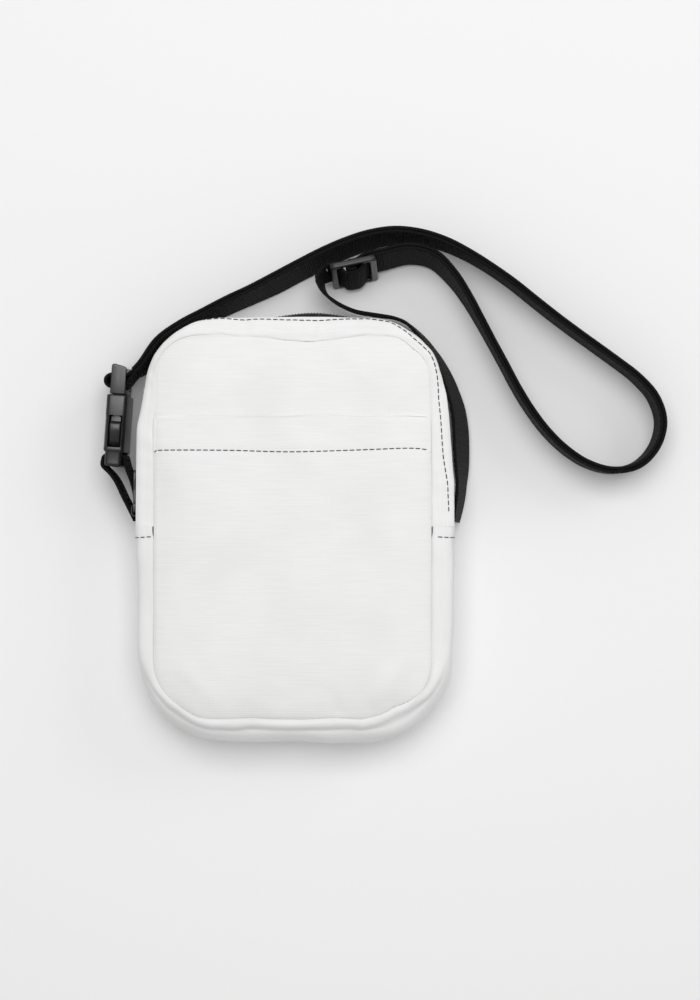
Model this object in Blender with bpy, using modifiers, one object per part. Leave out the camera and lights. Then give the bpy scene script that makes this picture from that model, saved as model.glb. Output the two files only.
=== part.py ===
"""A small shoulder bag with a webbing strap, lying on its back as in the photograph.

Metres, +Z up out of the front panel, +Y towards the top of the bag. The origin is the
centre of the face that the back panel rests on. Run with:
    blender --background --python part.py
"""

import math
from dataclasses import dataclass, replace

import bmesh
import bpy
from mathutils import Matrix, Vector

# Driving dimensions
body_half_width = 0.0703
body_half_height = 0.0945
body_corner_radius = 0.0345
side_bow = 0.0022
end_bow = 0.0030
strip_side_width = 0.0074
strip_end_width = 0.0078
seam_top_radius = 0.0195
seam_bottom_radius = 0.026
seam_offset_x = -0.001
seam_offset_y = 0.00175
seam_height = 0.0395
touch_gap = 0.0003

# Fabric
fabric_thickness = 0.0012
back_panel_thickness = 0.0016
front_panel_thickness = 0.0010
pocket_thickness = 0.0010
lining_thickness = 0.0005
binding_thickness = 0.0008
binding_width = 0.0032
front_crown = 0.0010
pocket_crown = 0.0056
back_inset = 0.0070
cross_seam_y = 0.0033
hinge_y = 0.0120
mouth_y = 0.0520

# Zip
zip_depth = 0.0063
zip_slot = 0.0066
zip_inset = 0.0019
coil_thickness = 0.0014
coil_width = 0.0015
coil_parting = 0.0014
coil_gap = 0.0008
tape_thickness = 0.0005
tape_width = 0.0062
front_tape_width = 0.0008
slider_length = 0.0110
slider_plate = 0.0010
slider_clearance = 0.00045
slider_post = 0.0007
slider_post_length = 0.0030
slider_y = 0.0094
slider_travel = 0.0300
bridge_length = 0.0050
bridge_width = 0.0018
bridge_rise = 0.0024
pull_pin_radius = 0.0004
pull_length = 0.0186
pull_width = 0.0044
pull_thickness = 0.0010
pull_eye_radius = 0.0009

# Webbing
webbing_width = 0.0250
webbing_thickness = 0.0014
ribbon_step = 0.0060
route_pieces = 12
strap_drop_length = 0.0700
lead_length = 0.0065
tab_clearance = 0.0006

# Strap adjuster
adjuster_length = 0.0216
adjuster_height = 0.0310
adjuster_thickness = 0.0026
adjuster_bar = 0.0025
adjuster_centre_bar = 0.0030
adjuster_centre_thickness = 0.0020
adjuster_round = 0.0008
adjuster_heading = math.radians(12.0)
adjuster_lean = math.radians(13.0)

# Side-release buckle
buckle_width = 0.0330
buckle_thickness = 0.0094
socket_length = 0.0328
socket_reach = 0.0235
socket_tail = 0.0070
plug_length = 0.0138
plug_thickness = 0.0072
plug_block = 0.0022
neck_length = 0.0040
guide_half = 0.0022
arch_steps = 10
buckle_wall = 0.0019
buckle_round = 0.0018
buckle_heading = math.radians(86.0)
buckle_bar = 0.0032
buckle_slot = 0.0036
tail_thickness = 0.0076
window_length = 0.0138
window_start = 0.0143
arm_shank = 0.0030
arm_clearance = 0.0005
strap_exit_heading = math.radians(44.0)

# Places on the bag, as shares of its half width and half height
adjuster_place_share = (0.371, 1.2265)
buckle_place_share = (-1.128, 0.543)

# The strap from the adjuster round the long loop to the buckle, from above
long_route_shares = (
    (0.800, 1.318), (0.941, 1.249), (1.063, 1.140), (1.197, 0.969),
    (1.326, 0.794), (1.448, 0.628), (1.582, 0.486), (1.724, 0.381), (1.870, 0.314),
    (2.025, 0.286), (2.166, 0.305), (2.269, 0.371), (2.327, 0.461), (2.327, 0.556),
    (2.269, 0.651), (2.166, 0.732), (1.999, 0.827), (1.794, 0.936), (1.577, 1.059),
    (1.359, 1.187), (1.153, 1.289), (0.974, 1.357), (0.826, 1.392), (0.684, 1.404),
    (0.543, 1.396), (0.371, 1.360), (0.146, 1.286), (-0.040, 1.213), (-0.232, 1.140),
    (-0.477, 1.060), (-0.571, 1.0246), (-0.673, 0.988), (-0.815, 0.922), (-0.898, 0.8585),
)
long_lean_degrees = (
    0.0, 0.0, 0.0, 0.0, 0.0, 0.0, 0.0, 0.0, 0.0, 0.0, 0.0, 0.0, 0.0, 0.0, 0.0, 0.0, 0.0, 0.0, 0.0,
    0.0, 1.0, 3.0, 5.0, 7.5, 9.5, 11.0, 12.0, 12.0, 11.0, 7.0, 4.0, 2.0, 0.0, 0.0,
)

# The single webbing from the adjuster round the bag's corner to the right gusset
short_route_shares = (
    (0.157, 1.204), (0.153, 1.175), (0.166, 1.149), (0.192, 1.120), (0.246, 1.086), (0.317, 1.058),
    (0.400, 1.035), (0.505, 1.0225), (0.666, 0.999), (0.789, 0.936), (0.877, 0.874),
    (0.961, 0.784), (1.021, 0.684), (1.048, 0.597), (1.062, 0.513), (1.065, 0.439),
    (1.065, 0.337), (1.059, 0.251), (1.051, 0.171), (1.034, 0.102), (1.0145, 0.039),
)
short_lean_degrees = (
    10.0, 7.0, 5.0, 4.0, 3.0, 3.0, 3.0, 3.0, 4.0, 5.0, 5.0,
    5.0, 8.0, 10.0, 12.0, 12.0, 12.0, 11.0, 9.0, 5.0, 0.0,
)

# The tab's ends on the left gusset, then its legs as shares of the way to the buckle and sideways
tab_outer_end_share = (-1.0138, 0.047)
tab_inner_end_share = (-1.0131, 0.108)
tab_outer_shares = ((0.0, 0.0), (0.25, -0.02), (0.50, -0.035), (0.75, -0.05))
tab_inner_shares = ((0.867, 0.0), (0.65, -0.026), (0.41, -0.049), (0.20, -0.040), (0.0, 0.0))
tab_turn_shares = ((-0.5, 0.33), (0.0, 1.6))

# Webbing through the adjuster, in half lengths of its windows and in laps of its centre bar
wrap_shares = (
    (-0.895, 0.423), (-0.699, -0.2), (-0.491, -0.86), (-0.181, -1.0),
    (0.145, -1.0), (0.434, -0.64), (0.669, 0.1), (0.895, 0.423),
)
fold_shares = (
    (1.93, 1.72), (1.07, 1.22), (0.43, 1.0), (-0.43, 1.0), (-0.9, 0.75),
    (-1.0, 0.0), (-0.9, -0.75), (-0.43, -1.0), (0.48, -1.0),
)

# Webbing round the plug's bar, in laps of the bar along and across the buckle
loop_end_share = (1.67, -2.375)
loop_shares = (
    (1.15, -1.31), (1.10, -0.10), (1.15, 1.26), (0.74, 2.13), (-0.05, 2.42),
    (-0.87, 1.95), (-1.07, 1.00), (-1.03, -0.10), (-0.42, -1.16), (0.60, -1.89),
)

# Profiles, as shares of the size that each belongs to
gusset_shares = (
    (0.048, 0.86, 0.0), (0.18, 0.43, 0.0), (0.36, 0.14, 0.0), (0.56, 0.0, 0.0), (0.757, 0.03, 0.0),
    (0.924, 0.07, 0.0), (0.945, 0.07, 0.02), (0.972, 0.07, 0.25), (0.990, 0.0, 0.60), (1.0, 0.0, 1.0),
)
dome_shares = (1.0, 0.965, 0.92, 0.84, 0.68, 0.40)
front_power = 3.0
pocket_power = 5.0
lining_scale_share = 0.93

WHITE = (0.86, 0.86, 0.85)
LINING_GREY = (0.72, 0.72, 0.72)
BLACK_WEB = (0.012, 0.012, 0.013)
BLACK_PLASTIC = (0.022, 0.022, 0.024)
BLACK_ENAMEL = (0.018, 0.018, 0.019)


@dataclass(frozen=True)
class Outline:
    """A rounded rectangle with bowed sides, seen from above."""

    half_width: float
    half_height: float
    centre_x: float
    centre_y: float
    top_radius: float
    bottom_radius: float
    bow_x: float
    bow_y: float

    def inset(self, distance):
        """The same outline drawn in by a distance."""
        return replace(
            self,
            half_width=self.half_width - distance,
            half_height=self.half_height - distance,
            top_radius=self.top_radius - distance,
            bottom_radius=self.bottom_radius - distance,
        )

    def toward(self, other, share):
        """The outline a share of the way to another."""
        mixed = {
            name: getattr(self, name) * (1 - share) + getattr(other, name) * share
            for name in self.__dataclass_fields__
        }
        return Outline(**mixed)

    def points(self, side_steps=6, corner_steps=6):
        """Points counter-clockwise from the right-hand side's lower end."""
        corners = (
            (1, 1, self.top_radius, 0),
            (-1, 1, self.top_radius, 1),
            (-1, -1, self.bottom_radius, 2),
            (1, -1, self.bottom_radius, 3),
        )
        arcs = []
        for sign_x, sign_y, radius, quarter in corners:
            arc = []
            for step in range(corner_steps + 1):
                angle = (quarter + step / corner_steps) * math.pi / 2
                arc.append(
                    Vector(
                        (
                            sign_x * (self.half_width - radius) + radius * math.cos(angle),
                            sign_y * (self.half_height - radius) + radius * math.sin(angle),
                        )
                    )
                )
            arcs.append(arc)
        ring = []
        for index, arc in enumerate(arcs):
            start = arcs[index - 1][-1]
            for step in range(1, side_steps):
                ring.append(start.lerp(arc[0], step / side_steps))
            ring.extend(arc)
        return [self.bowed(point) for point in ring]

    def bowed(self, point):
        """A point of the plain rounded rectangle, pushed out by the bow of its sides."""
        across = point.x / self.half_width
        along = point.y / self.half_height
        return Vector(
            (
                self.centre_x + point.x + self.bow_x * across * (1 - along**2),
                self.centre_y + point.y + self.bow_y * along * (1 - across**2),
            )
        )


body_outline = Outline(
    body_half_width, body_half_height, 0.0, 0.0,
    body_corner_radius, body_corner_radius, side_bow, end_bow,
)
seam_outline = Outline(
    body_half_width - strip_side_width, body_half_height - strip_end_width,
    seam_offset_x, seam_offset_y, seam_top_radius, seam_bottom_radius, 0.0, 0.0,
)
outer_half_width = body_half_width + side_bow
outer_half_height = body_half_height + end_bow
zip_height = seam_height - zip_depth
socket_mouth = socket_length - socket_reach
plug_base = socket_mouth + touch_gap
cavity_half_thickness = buckle_thickness / 2 - buckle_wall
cavity_half_width = buckle_width / 2 - buckle_wall - arm_clearance * 2
slide_half_thickness = cavity_half_thickness - arm_clearance
slot_low = zip_height - zip_slot / 2
slot_high = zip_height + zip_slot / 2
tab_height = slot_low - tab_clearance - webbing_width / 2
front_base = seam_height + touch_gap + front_panel_thickness
pocket_base = front_base + touch_gap + pocket_thickness


def clear_scene():
    """Removes every object of the startup scene."""
    for obj in list(bpy.data.objects):
        bpy.data.objects.remove(obj, do_unlink=True)


def make_collection(name, helper=False):
    """A collection under the scene's own, hidden from render if it holds helpers."""
    collection = bpy.data.collections.new(name)
    bpy.context.scene.collection.children.link(collection)
    collection.hide_render = helper
    return collection


def make_material(name, colour, roughness, metallic=0.0):
    """A Principled material of one colour."""
    material = bpy.data.materials.new(name)
    material.use_nodes = True
    shader = material.node_tree.nodes["Principled BSDF"]
    shader.inputs["Base Color"].default_value = (*colour, 1.0)
    shader.inputs["Roughness"].default_value = roughness
    shader.inputs["Metallic"].default_value = metallic
    return material


clear_scene()
bag_parts = make_collection("shoulder_bag")
cutters = make_collection("cutters", helper=True)
white_fabric = make_material("white_fabric", WHITE, 0.85)
lining_fabric = make_material("lining_fabric", LINING_GREY, 0.8)
zip_black = make_material("zip_black", BLACK_WEB, 0.6)
enamel_black = make_material("enamel_black", BLACK_ENAMEL, 0.35, 0.6)
webbing_black = make_material("webbing_black", BLACK_WEB, 0.75)
plastic_black = make_material("plastic_black", BLACK_PLASTIC, 0.4)


def add_object(name, bm, material, matrix=None):
    """Makes an object of a bmesh, in the bag's collection."""
    mesh = bpy.data.meshes.new(name)
    bm.to_mesh(mesh)
    bm.free()
    obj = bpy.data.objects.new(name, mesh)
    bag_parts.objects.link(obj)
    mesh.materials.append(material)
    if matrix is not None:
        obj.matrix_world = matrix
    return obj


def add_wall(obj, thickness, offset=-1.0):
    """Gives an open surface its thickness, inwards unless told otherwise."""
    wall = obj.modifiers.new("wall", "SOLIDIFY")
    wall.thickness = thickness
    wall.offset = offset
    wall.use_even_offset = True
    wall.use_quality_normals = True
    return wall


def loft(rings, closed_top=False):
    """A surface through rings of points with as many points each, from low to high."""
    bm = bmesh.new()
    rows = [[bm.verts.new(point) for point in ring] for ring in rings]
    count = len(rows[0])
    for lower, upper in zip(rows, rows[1:]):
        for index in range(count):
            after = (index + 1) % count
            bm.faces.new((lower[index], lower[after], upper[after], upper[index]))
    if closed_top:
        bm.faces.new(rows[-1])
    return bm


def keep_side(bm, place, above, axis=(0.0, 1.0, 0.0)):
    """Cuts a surface at a place along an axis and keeps what is above or below it."""
    bmesh.ops.bisect_plane(
        bm,
        geom=bm.verts[:] + bm.edges[:] + bm.faces[:],
        plane_co=Vector(axis) * place,
        plane_no=axis,
        clear_inner=above,
        clear_outer=not above,
    )


def ring_at(outline, z):
    """An outline's points at a height."""
    return [Vector((point.x, point.y, z)) for point in outline.points()]


def gusset_levels(extra=0.0):
    """The gusset's outlines from the back seam to the front seam, as (height, outline)."""
    levels = []
    for height_share, inset_share, seam_share in gusset_shares:
        outline = body_outline.inset(back_inset * inset_share + extra)
        levels.append(
            (seam_height * height_share, outline.toward(seam_outline.inset(extra), seam_share))
        )
    return levels


def outline_at(levels, z):
    """The outline at a height between two levels."""
    for (low, lower), (high, upper) in zip(levels, levels[1:]):
        if low <= z <= high:
            return lower.toward(upper, (z - low) / (high - low))
    return levels[0][1] if z < levels[0][0] else levels[-1][1]


def band(levels, low, high):
    """A band of the gusset between two heights."""
    heights = [low] + [z for z, _ in levels if low < z < high] + [high]
    return loft([ring_at(outline_at(levels, z), z) for z in heights])


def plate(outline, top):
    """A flat sheet of an outline, at a height."""
    inner = outline.inset(outline.half_width / 3)
    return loft([ring_at(outline, top), ring_at(inner, top)], closed_top=True)


def dome(rise, base, power, scale=1.0):
    """A crowned panel over the front seam, as rings drawn in towards its middle."""
    rings = []
    centre = Vector((seam_offset_x, seam_offset_y))
    for share in dome_shares:
        z = base + rise * (1 - share**power)
        ring = seam_outline.points()
        rings.append([Vector((*(centre + (point - centre) * share * scale), z)) for point in ring])
    return loft(rings, closed_top=True)


def build_shell():
    """The outer fabric: back panel, gusset, zip strips, front panel and front pocket."""
    bm = plate(body_outline.inset(back_inset), back_panel_thickness)
    add_wall(add_object("back_panel", bm, white_fabric), back_panel_thickness)
    levels = gusset_levels()
    foot = back_panel_thickness + touch_gap

    bm = band(levels, foot, seam_height)
    keep_side(bm, cross_seam_y, above=False)
    add_wall(add_object("lower_gusset", bm, white_fabric), fabric_thickness)

    bm = band(levels, foot, slot_low)
    keep_side(bm, cross_seam_y + touch_gap, above=True)
    add_wall(add_object("rear_zip_strip", bm, white_fabric), fabric_thickness)

    bm = band(levels, slot_high, seam_height)
    keep_side(bm, hinge_y + touch_gap, above=True)
    add_wall(add_object("front_zip_strip", bm, white_fabric), fabric_thickness)

    for name, on_right in (("front_strip_end_left", False), ("front_strip_end_right", True)):
        bm = band(levels, slot_high, seam_height)
        keep_side(bm, hinge_y, above=False)
        keep_side(bm, cross_seam_y + touch_gap, above=True)
        keep_side(bm, 0.0, on_right, axis=(1.0, 0.0, 0.0))
        add_wall(add_object(name, bm, white_fabric), fabric_thickness)

    for name, above, cut in (
        ("front_panel_lower", False, hinge_y),
        ("front_panel_upper", True, hinge_y + touch_gap),
    ):
        bm = dome(front_crown, front_base, front_power)
        keep_side(bm, cut, above)
        add_wall(add_object(name, bm, white_fabric), front_panel_thickness)

    bm = dome(pocket_crown, pocket_base, pocket_power)
    keep_side(bm, hinge_y, above=False)
    add_wall(add_object("pocket_panel_lower", bm, white_fabric), pocket_thickness)
    bm = dome(pocket_crown, pocket_base, pocket_power)
    keep_side(bm, hinge_y + touch_gap, above=True)
    keep_side(bm, mouth_y, above=False)
    add_wall(add_object("pocket_panel_upper", bm, white_fabric), pocket_thickness)


def build_inside():
    """The lining, and the bindings that cover the raw seams inside."""
    wall_gap = fabric_thickness + 2 * touch_gap
    levels = gusset_levels(wall_gap)
    lining_low = back_panel_thickness + touch_gap + lining_thickness + touch_gap
    lining_high = slot_low - tape_width + coil_gap - touch_gap
    bm = band(levels, lining_low, lining_high)
    add_wall(add_object("side_lining", bm, lining_fabric), lining_thickness)

    back_edge = back_inset + fabric_thickness + binding_width
    bm = plate(body_outline.inset(back_edge), back_panel_thickness + touch_gap + lining_thickness)
    add_wall(add_object("back_lining", bm, lining_fabric), lining_thickness)

    for name, above, cut in (
        ("front_lining_lower", False, hinge_y),
        ("front_lining_upper", True, hinge_y + touch_gap),
    ):
        bm = dome(front_crown, seam_height, front_power, lining_scale_share)
        keep_side(bm, cut, above)
        add_wall(add_object(name, bm, lining_fabric), lining_thickness)

    inner_levels = gusset_levels(wall_gap + lining_thickness + 2 * touch_gap)
    bm = band(inner_levels, lining_low + touch_gap, lining_low + touch_gap + binding_width)
    add_wall(add_object("back_seam_binding", bm, webbing_black), binding_thickness)
    ring = seam_outline.inset(binding_thickness)
    high = seam_height - fabric_thickness - touch_gap
    for name, above, cut in (
        ("front_seam_binding_lower", False, hinge_y),
        ("front_seam_binding_upper", True, hinge_y + touch_gap),
    ):
        bm = loft([ring_at(ring, high - binding_width), ring_at(ring, high)])
        keep_side(bm, cut, above)
        add_wall(add_object(name, bm, webbing_black), binding_thickness)


def build_zip():
    """The zip's two tapes and two coils, in the slot between the gusset's strips."""
    coil_ring = body_outline.inset(zip_inset)
    tape_ring = body_outline.inset(zip_inset + coil_thickness + touch_gap)
    rear_cut = cross_seam_y + touch_gap
    front_cut = hinge_y + touch_gap
    rear_high = zip_height - coil_parting / 2
    front_low = zip_height + coil_parting / 2
    rear_tape_high = rear_high - coil_width - touch_gap
    front_tape_low = front_low + coil_width + 2 * touch_gap
    for name, ring, low, width, thickness, place in (
        ("zip_tape_rear", coil_ring, rear_tape_high - tape_width, tape_width, tape_thickness, rear_cut),
        ("zip_coil_rear", coil_ring, rear_high - coil_width, coil_width, coil_thickness, rear_cut),
        ("zip_coil_front", coil_ring, front_low, coil_width, coil_thickness, front_cut),
        ("zip_tape_front", tape_ring, front_tape_low, front_tape_width, tape_thickness, front_cut),
    ):
        bm = loft([ring_at(ring, low), ring_at(ring, low + width)])
        keep_side(bm, place, above=True)
        add_wall(add_object(name, bm, zip_black), thickness)


def make_box(name, low, high, matrix=None, helper=True, rounded=0.0, material=None):
    """A box between two corners, in the frame of a matrix; a helper cuts or joins."""
    bm = bmesh.new()
    bmesh.ops.create_cube(bm, size=1.0)
    low = Vector(low)
    high = Vector(high)
    size = high - low
    bmesh.ops.scale(bm, vec=size, verts=bm.verts[:])
    bmesh.ops.translate(bm, vec=(low + high) / 2, verts=bm.verts[:])
    if rounded:
        bmesh.ops.bevel(
            bm, geom=bm.edges[:], offset=rounded, segments=2, profile=0.5, affect="EDGES"
        )
    return place_solid(name, bm, matrix, helper, material)


def make_rod(name, start, end, radius, matrix=None, helper=True, material=None, sides=12):
    """A round rod between two points, in the frame of a matrix."""
    start = Vector(start)
    end = Vector(end)
    along = end - start
    bm = bmesh.new()
    bmesh.ops.create_cone(
        bm, cap_ends=True, segments=sides, radius1=radius, radius2=radius, depth=along.length
    )
    turn = along.to_track_quat("Z", "Y").to_matrix().to_4x4()
    bmesh.ops.transform(bm, matrix=Matrix.Translation((start + end) / 2) @ turn, verts=bm.verts[:])
    return place_solid(name, bm, matrix, helper, material)


def make_prism(name, outline, low, high, matrix=None):
    """A helper with an outline in x and y, from one height to another."""
    bm = loft([[Vector((x, y, z)) for x, y in outline] for z in (low, high)], closed_top=True)
    bmesh.ops.holes_fill(bm, edges=[edge for edge in bm.edges if edge.is_boundary])
    bmesh.ops.recalc_face_normals(bm, faces=bm.faces[:])
    return place_solid(name, bm, matrix, True, None)


def place_solid(name, bm, matrix, helper, material):
    """Puts a closed bmesh in the cutters' collection, or in the bag's."""
    mesh = bpy.data.meshes.new(name)
    bm.to_mesh(mesh)
    bm.free()
    obj = bpy.data.objects.new(name, mesh)
    (cutters if helper else bag_parts).objects.link(obj)
    if helper:
        obj.hide_render = True
        obj.display_type = "WIRE"
    else:
        mesh.materials.append(material)
    if matrix is not None:
        obj.matrix_world = matrix
    return obj


def combine(obj, tool, operation):
    """Joins a helper to an object, or cuts it out."""
    step = obj.modifiers.new(operation.lower() + "_" + tool.name, "BOOLEAN")
    step.operation = operation
    step.object = tool
    step.solver = "EXACT"


def join(obj, *tools):
    """Joins helpers to an object."""
    for tool in tools:
        combine(obj, tool, "UNION")


def cut(obj, *tools):
    """Cuts helpers out of an object."""
    for tool in tools:
        combine(obj, tool, "DIFFERENCE")


def frame_at(place, height, heading, lean=0.0):
    """A frame with x along the webbing, y through its thickness and z across its width."""
    return (
        Matrix.Translation((place[0], place[1], height))
        @ Matrix.Rotation(heading, 4, "Z")
        @ Matrix.Rotation(lean, 4, "X")
    )


def left_edge_x(y, inset):
    """Where the left-hand side of the bag's outline lies at a height up the bag."""
    outline = body_outline.inset(inset)
    return outline.bowed(Vector((-outline.half_width, y))).x


def slider_frame():
    """The zip slider's frame on the left gusset: y along the zip, -x outwards."""
    start = Vector((left_edge_x(slider_y, zip_inset), slider_y))
    end_y = slider_y + slider_travel
    end = Vector((left_edge_x(end_y, zip_inset), end_y))
    run = end - start
    heading = math.atan2(-run.x, run.y)
    return frame_at(start, zip_height, heading)


def build_slider():
    """The zip slider that straddles both coils, and the pull hinged in its bridge."""
    frame = slider_frame()
    half = slider_length / 2
    half_height = zip_slot / 2 - touch_gap
    overrun = slider_plate / 4
    outer = -slider_clearance
    inner = coil_thickness + slider_clearance
    coil_reach = coil_parting / 2 + coil_width + touch_gap
    slider = make_box(
        "zip_slider",
        (outer - slider_plate, -half, -half_height),
        (outer, half, half_height),
        frame, helper=False, rounded=slider_plate / 4, material=enamel_black,
    )
    inner_plate = make_box(
        "slider_inner_plate",
        (inner, -half, -coil_reach),
        (inner + slider_plate, half, coil_reach),
        frame, rounded=slider_plate / 4,
    )
    post = make_box(
        "slider_post",
        (outer - overrun, -half + overrun, -slider_post / 2),
        (inner + overrun, -half + overrun + slider_post_length, slider_post / 2),
        frame,
    )
    bridge_face = outer - slider_plate
    hole_centre = bridge_face - bridge_rise / 2
    bridge = make_box(
        "slider_bridge",
        (bridge_face - bridge_rise, -bridge_length / 2, -bridge_width / 2),
        (bridge_face + overrun, bridge_length / 2, bridge_width / 2),
        frame, rounded=bridge_width / 8,
    )
    hole = make_rod(
        "bridge_hole",
        (hole_centre, 0.0, -bridge_width),
        (hole_centre, 0.0, bridge_width),
        pull_pin_radius + touch_gap, frame,
    )
    cut(bridge, hole)
    join(slider, inner_plate, post, bridge)

    reach = bridge_width / 2 + touch_gap
    pull_frame = frame @ Matrix.Translation((hole_centre, 0.0, 0.0))
    pull = make_rod(
        "zip_pull",
        (0.0, 0.0, -pull_width / 2 + overrun),
        (0.0, 0.0, pull_width / 2 - overrun),
        pull_pin_radius, pull_frame, helper=False, material=enamel_black,
    )
    half_tab = pull_thickness / 2
    tab_start = bridge_length / 2 + touch_gap * 2
    tab = make_box(
        "pull_tab",
        (-half_tab, tab_start, -pull_width / 2),
        (half_tab, pull_length, pull_width / 2),
        pull_frame, rounded=pull_thickness / 4,
    )
    cheeks = [
        make_box(
            name,
            (-half_tab, -pull_eye_radius, min(near, far)),
            (half_tab, tab_start + pull_thickness, max(near, far)),
            pull_frame,
        )
        for name, near, far in (
            ("pull_cheek_front", reach, pull_width / 2 - overrun / 2),
            ("pull_cheek_rear", -reach, -pull_width / 2 + overrun / 2),
        )
    ]
    join(pull, tab, *cheeks)


def smooth_route(points, step):
    """A smooth curve through points, read at even steps."""
    points = [Vector(point) for point in points]
    padded = [2 * points[0] - points[1]] + points + [2 * points[-1] - points[-2]]
    fine = []
    for a, b, c, d in zip(padded, padded[1:], padded[2:], padded[3:]):
        for index in range(route_pieces):
            t = index / route_pieces
            fine.append(
                0.5 * (2 * b + (c - a) * t + (2 * a - 5 * b + 4 * c - d) * t**2
                       + (3 * b - a - 3 * c + d) * t**3)
            )
    fine.append(points[-1])
    runs = [0.0]
    for before, after in zip(fine, fine[1:]):
        runs.append(runs[-1] + (after - before).xyz.length)
    count = max(2, round(runs[-1] / step))
    route = []
    index = 0
    for number in range(count + 1):
        target = runs[-1] * number / count
        while index < len(runs) - 2 and runs[index + 1] < target:
            index += 1
        share = (target - runs[index]) / (runs[index + 1] - runs[index])
        route.append(fine[index].lerp(fine[index + 1], share))
    return route


def headings(route):
    """The direction of a route seen from above, at each of its points."""
    found = []
    for index in range(len(route)):
        before = route[max(index - 1, 0)]
        after = route[min(index + 1, len(route) - 1)]
        found.append(Vector((after.x - before.x, after.y - before.y)).normalized())
    return found


def ribbon(name, route, matrix=None, offset=0.0):
    """Webbing on edge along a route of (x, y, centre height, lean), moved sideways by an offset."""
    bm = bmesh.new()
    rows = []
    half = webbing_width / 2
    for point, heading in zip(route, headings(route)):
        left = Vector((-heading.y, heading.x, 0.0))
        lean = point.w
        up = -math.sin(lean) * left + math.cos(lean) * Vector((0.0, 0.0, 1.0))
        across = math.cos(lean) * left + math.sin(lean) * Vector((0.0, 0.0, 1.0))
        centre = point.xyz + across * offset
        rows.append((bm.verts.new(centre - up * half), bm.verts.new(centre + up * half)))
    for (low, high), (next_low, next_high) in zip(rows, rows[1:]):
        bm.faces.new((low, next_low, next_high, high))
    obj = add_object(name, bm, webbing_black, matrix)
    add_wall(obj, webbing_thickness, offset=0.0)
    return obj


def flat_route(points, step):
    """A route in a local frame, at no height and with no lean."""
    return smooth_route([(x, y, 0.0, 0.0) for x, y in points], step)


def ease(share):
    """A share turned into a smooth rise from 0 to 1."""
    share = min(max(share, 0.0), 1.0)
    return share * share * (3 - 2 * share)


buckle_height = touch_gap + buckle_width / 2
adjuster_centre_height = (
    touch_gap
    + adjuster_height / 2 * math.cos(adjuster_lean)
    + adjuster_thickness / 2 * math.sin(adjuster_lean)
)
adjuster_frame = frame_at(
    (adjuster_place_share[0] * outer_half_width, adjuster_place_share[1] * outer_half_height),
    adjuster_centre_height, adjuster_heading, -adjuster_lean,
)
buckle_frame = frame_at(
    (buckle_place_share[0] * outer_half_width, buckle_place_share[1] * outer_half_height),
    buckle_height, buckle_heading,
)


def on_bag(shares):
    """Places given as shares of the bag's half width and half height."""
    return [Vector((x * outer_half_width, y * outer_half_height)) for x, y in shares]


def between(start, end, shares):
    """Places given as shares of the way from one place to another, and sideways of it."""
    way = end - start
    side = Vector((-way.y, way.x, 0.0))
    return [start + way * along + side * across for along, across in shares]


def standing_height(lean):
    """How high the middle of doubled webbing on edge lies above the table when it leans."""
    return touch_gap + webbing_width / 2 * math.cos(lean) + webbing_thickness * abs(math.sin(lean))


def build_adjuster():
    """The strap adjuster: a frame with a centre bar, and the webbing threaded through it."""
    half_length = adjuster_length / 2
    half_height = adjuster_height / 2
    half_thickness = adjuster_thickness / 2
    half_centre = adjuster_centre_bar / 2
    rail = (adjuster_height - webbing_width) / 2 - touch_gap * 2
    adjuster = make_box(
        "strap_adjuster",
        (-half_length, -half_thickness, -half_height),
        (half_length, half_thickness, half_height),
        adjuster_frame, helper=False, rounded=adjuster_round, material=plastic_black,
    )
    for name, low, high in (
        ("window_left", -half_length + adjuster_bar, -half_centre),
        ("window_right", half_centre, half_length - adjuster_bar),
    ):
        window = make_box(
            name,
            (low, -adjuster_thickness, -half_height + rail),
            (high, adjuster_thickness, half_height - rail),
            adjuster_frame,
        )
        cut(adjuster, window)
    spare = (adjuster_thickness - adjuster_centre_thickness) / 2
    for name, side in (("centre_relief_front", 1), ("centre_relief_rear", -1)):
        face = side * (half_thickness - spare)
        outside = side * adjuster_thickness
        relief = make_box(
            name,
            (-half_centre - touch_gap, min(face, outside), -half_height + rail),
            (half_centre + touch_gap, max(face, outside), half_height - rail),
            adjuster_frame,
        )
        cut(adjuster, relief)

    bar_lap = half_thickness + touch_gap + webbing_thickness / 2
    fold_lap = adjuster_centre_thickness / 2 + touch_gap + webbing_thickness / 2
    over_lap = fold_lap + webbing_thickness + touch_gap
    bar_edge = half_length - adjuster_bar
    end = half_length + webbing_thickness * 2
    start = -half_length - 2 * touch_gap
    wrap = [(start, bar_lap), (-half_length, bar_lap), (-bar_edge, bar_lap)]
    wrap += [(bar_edge * x, over_lap * y) for x, y in wrap_shares]
    wrap += [(bar_edge, bar_lap), (half_length, bar_lap), (end, bar_lap)]
    ribbon("strap_wrap", flat_route(wrap, adjuster_bar / 2), adjuster_frame)
    upper_lap = bar_lap + webbing_thickness + touch_gap
    turn = half_centre + 2 * touch_gap + webbing_thickness / 2
    fold = [(end, upper_lap), (half_length, upper_lap), (bar_edge, upper_lap)]
    fold += [(turn * x, fold_lap * y) for x, y in fold_shares]
    ribbon("strap_sewn_fold", flat_route(fold, adjuster_bar / 2), adjuster_frame)
    return (end, (bar_lap + upper_lap) / 2), (start, bar_lap)


def build_buckle():
    """The side-release buckle, and the webbing on its bars; returns where the loop ends."""
    build_socket()
    bar_x = build_plug()
    for name, side in (("latch_arm_upper", 1), ("latch_arm_lower", -1)):
        build_latch_arm(name, side)
    build_side_tab()
    return build_buckle_loop(bar_x)


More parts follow.
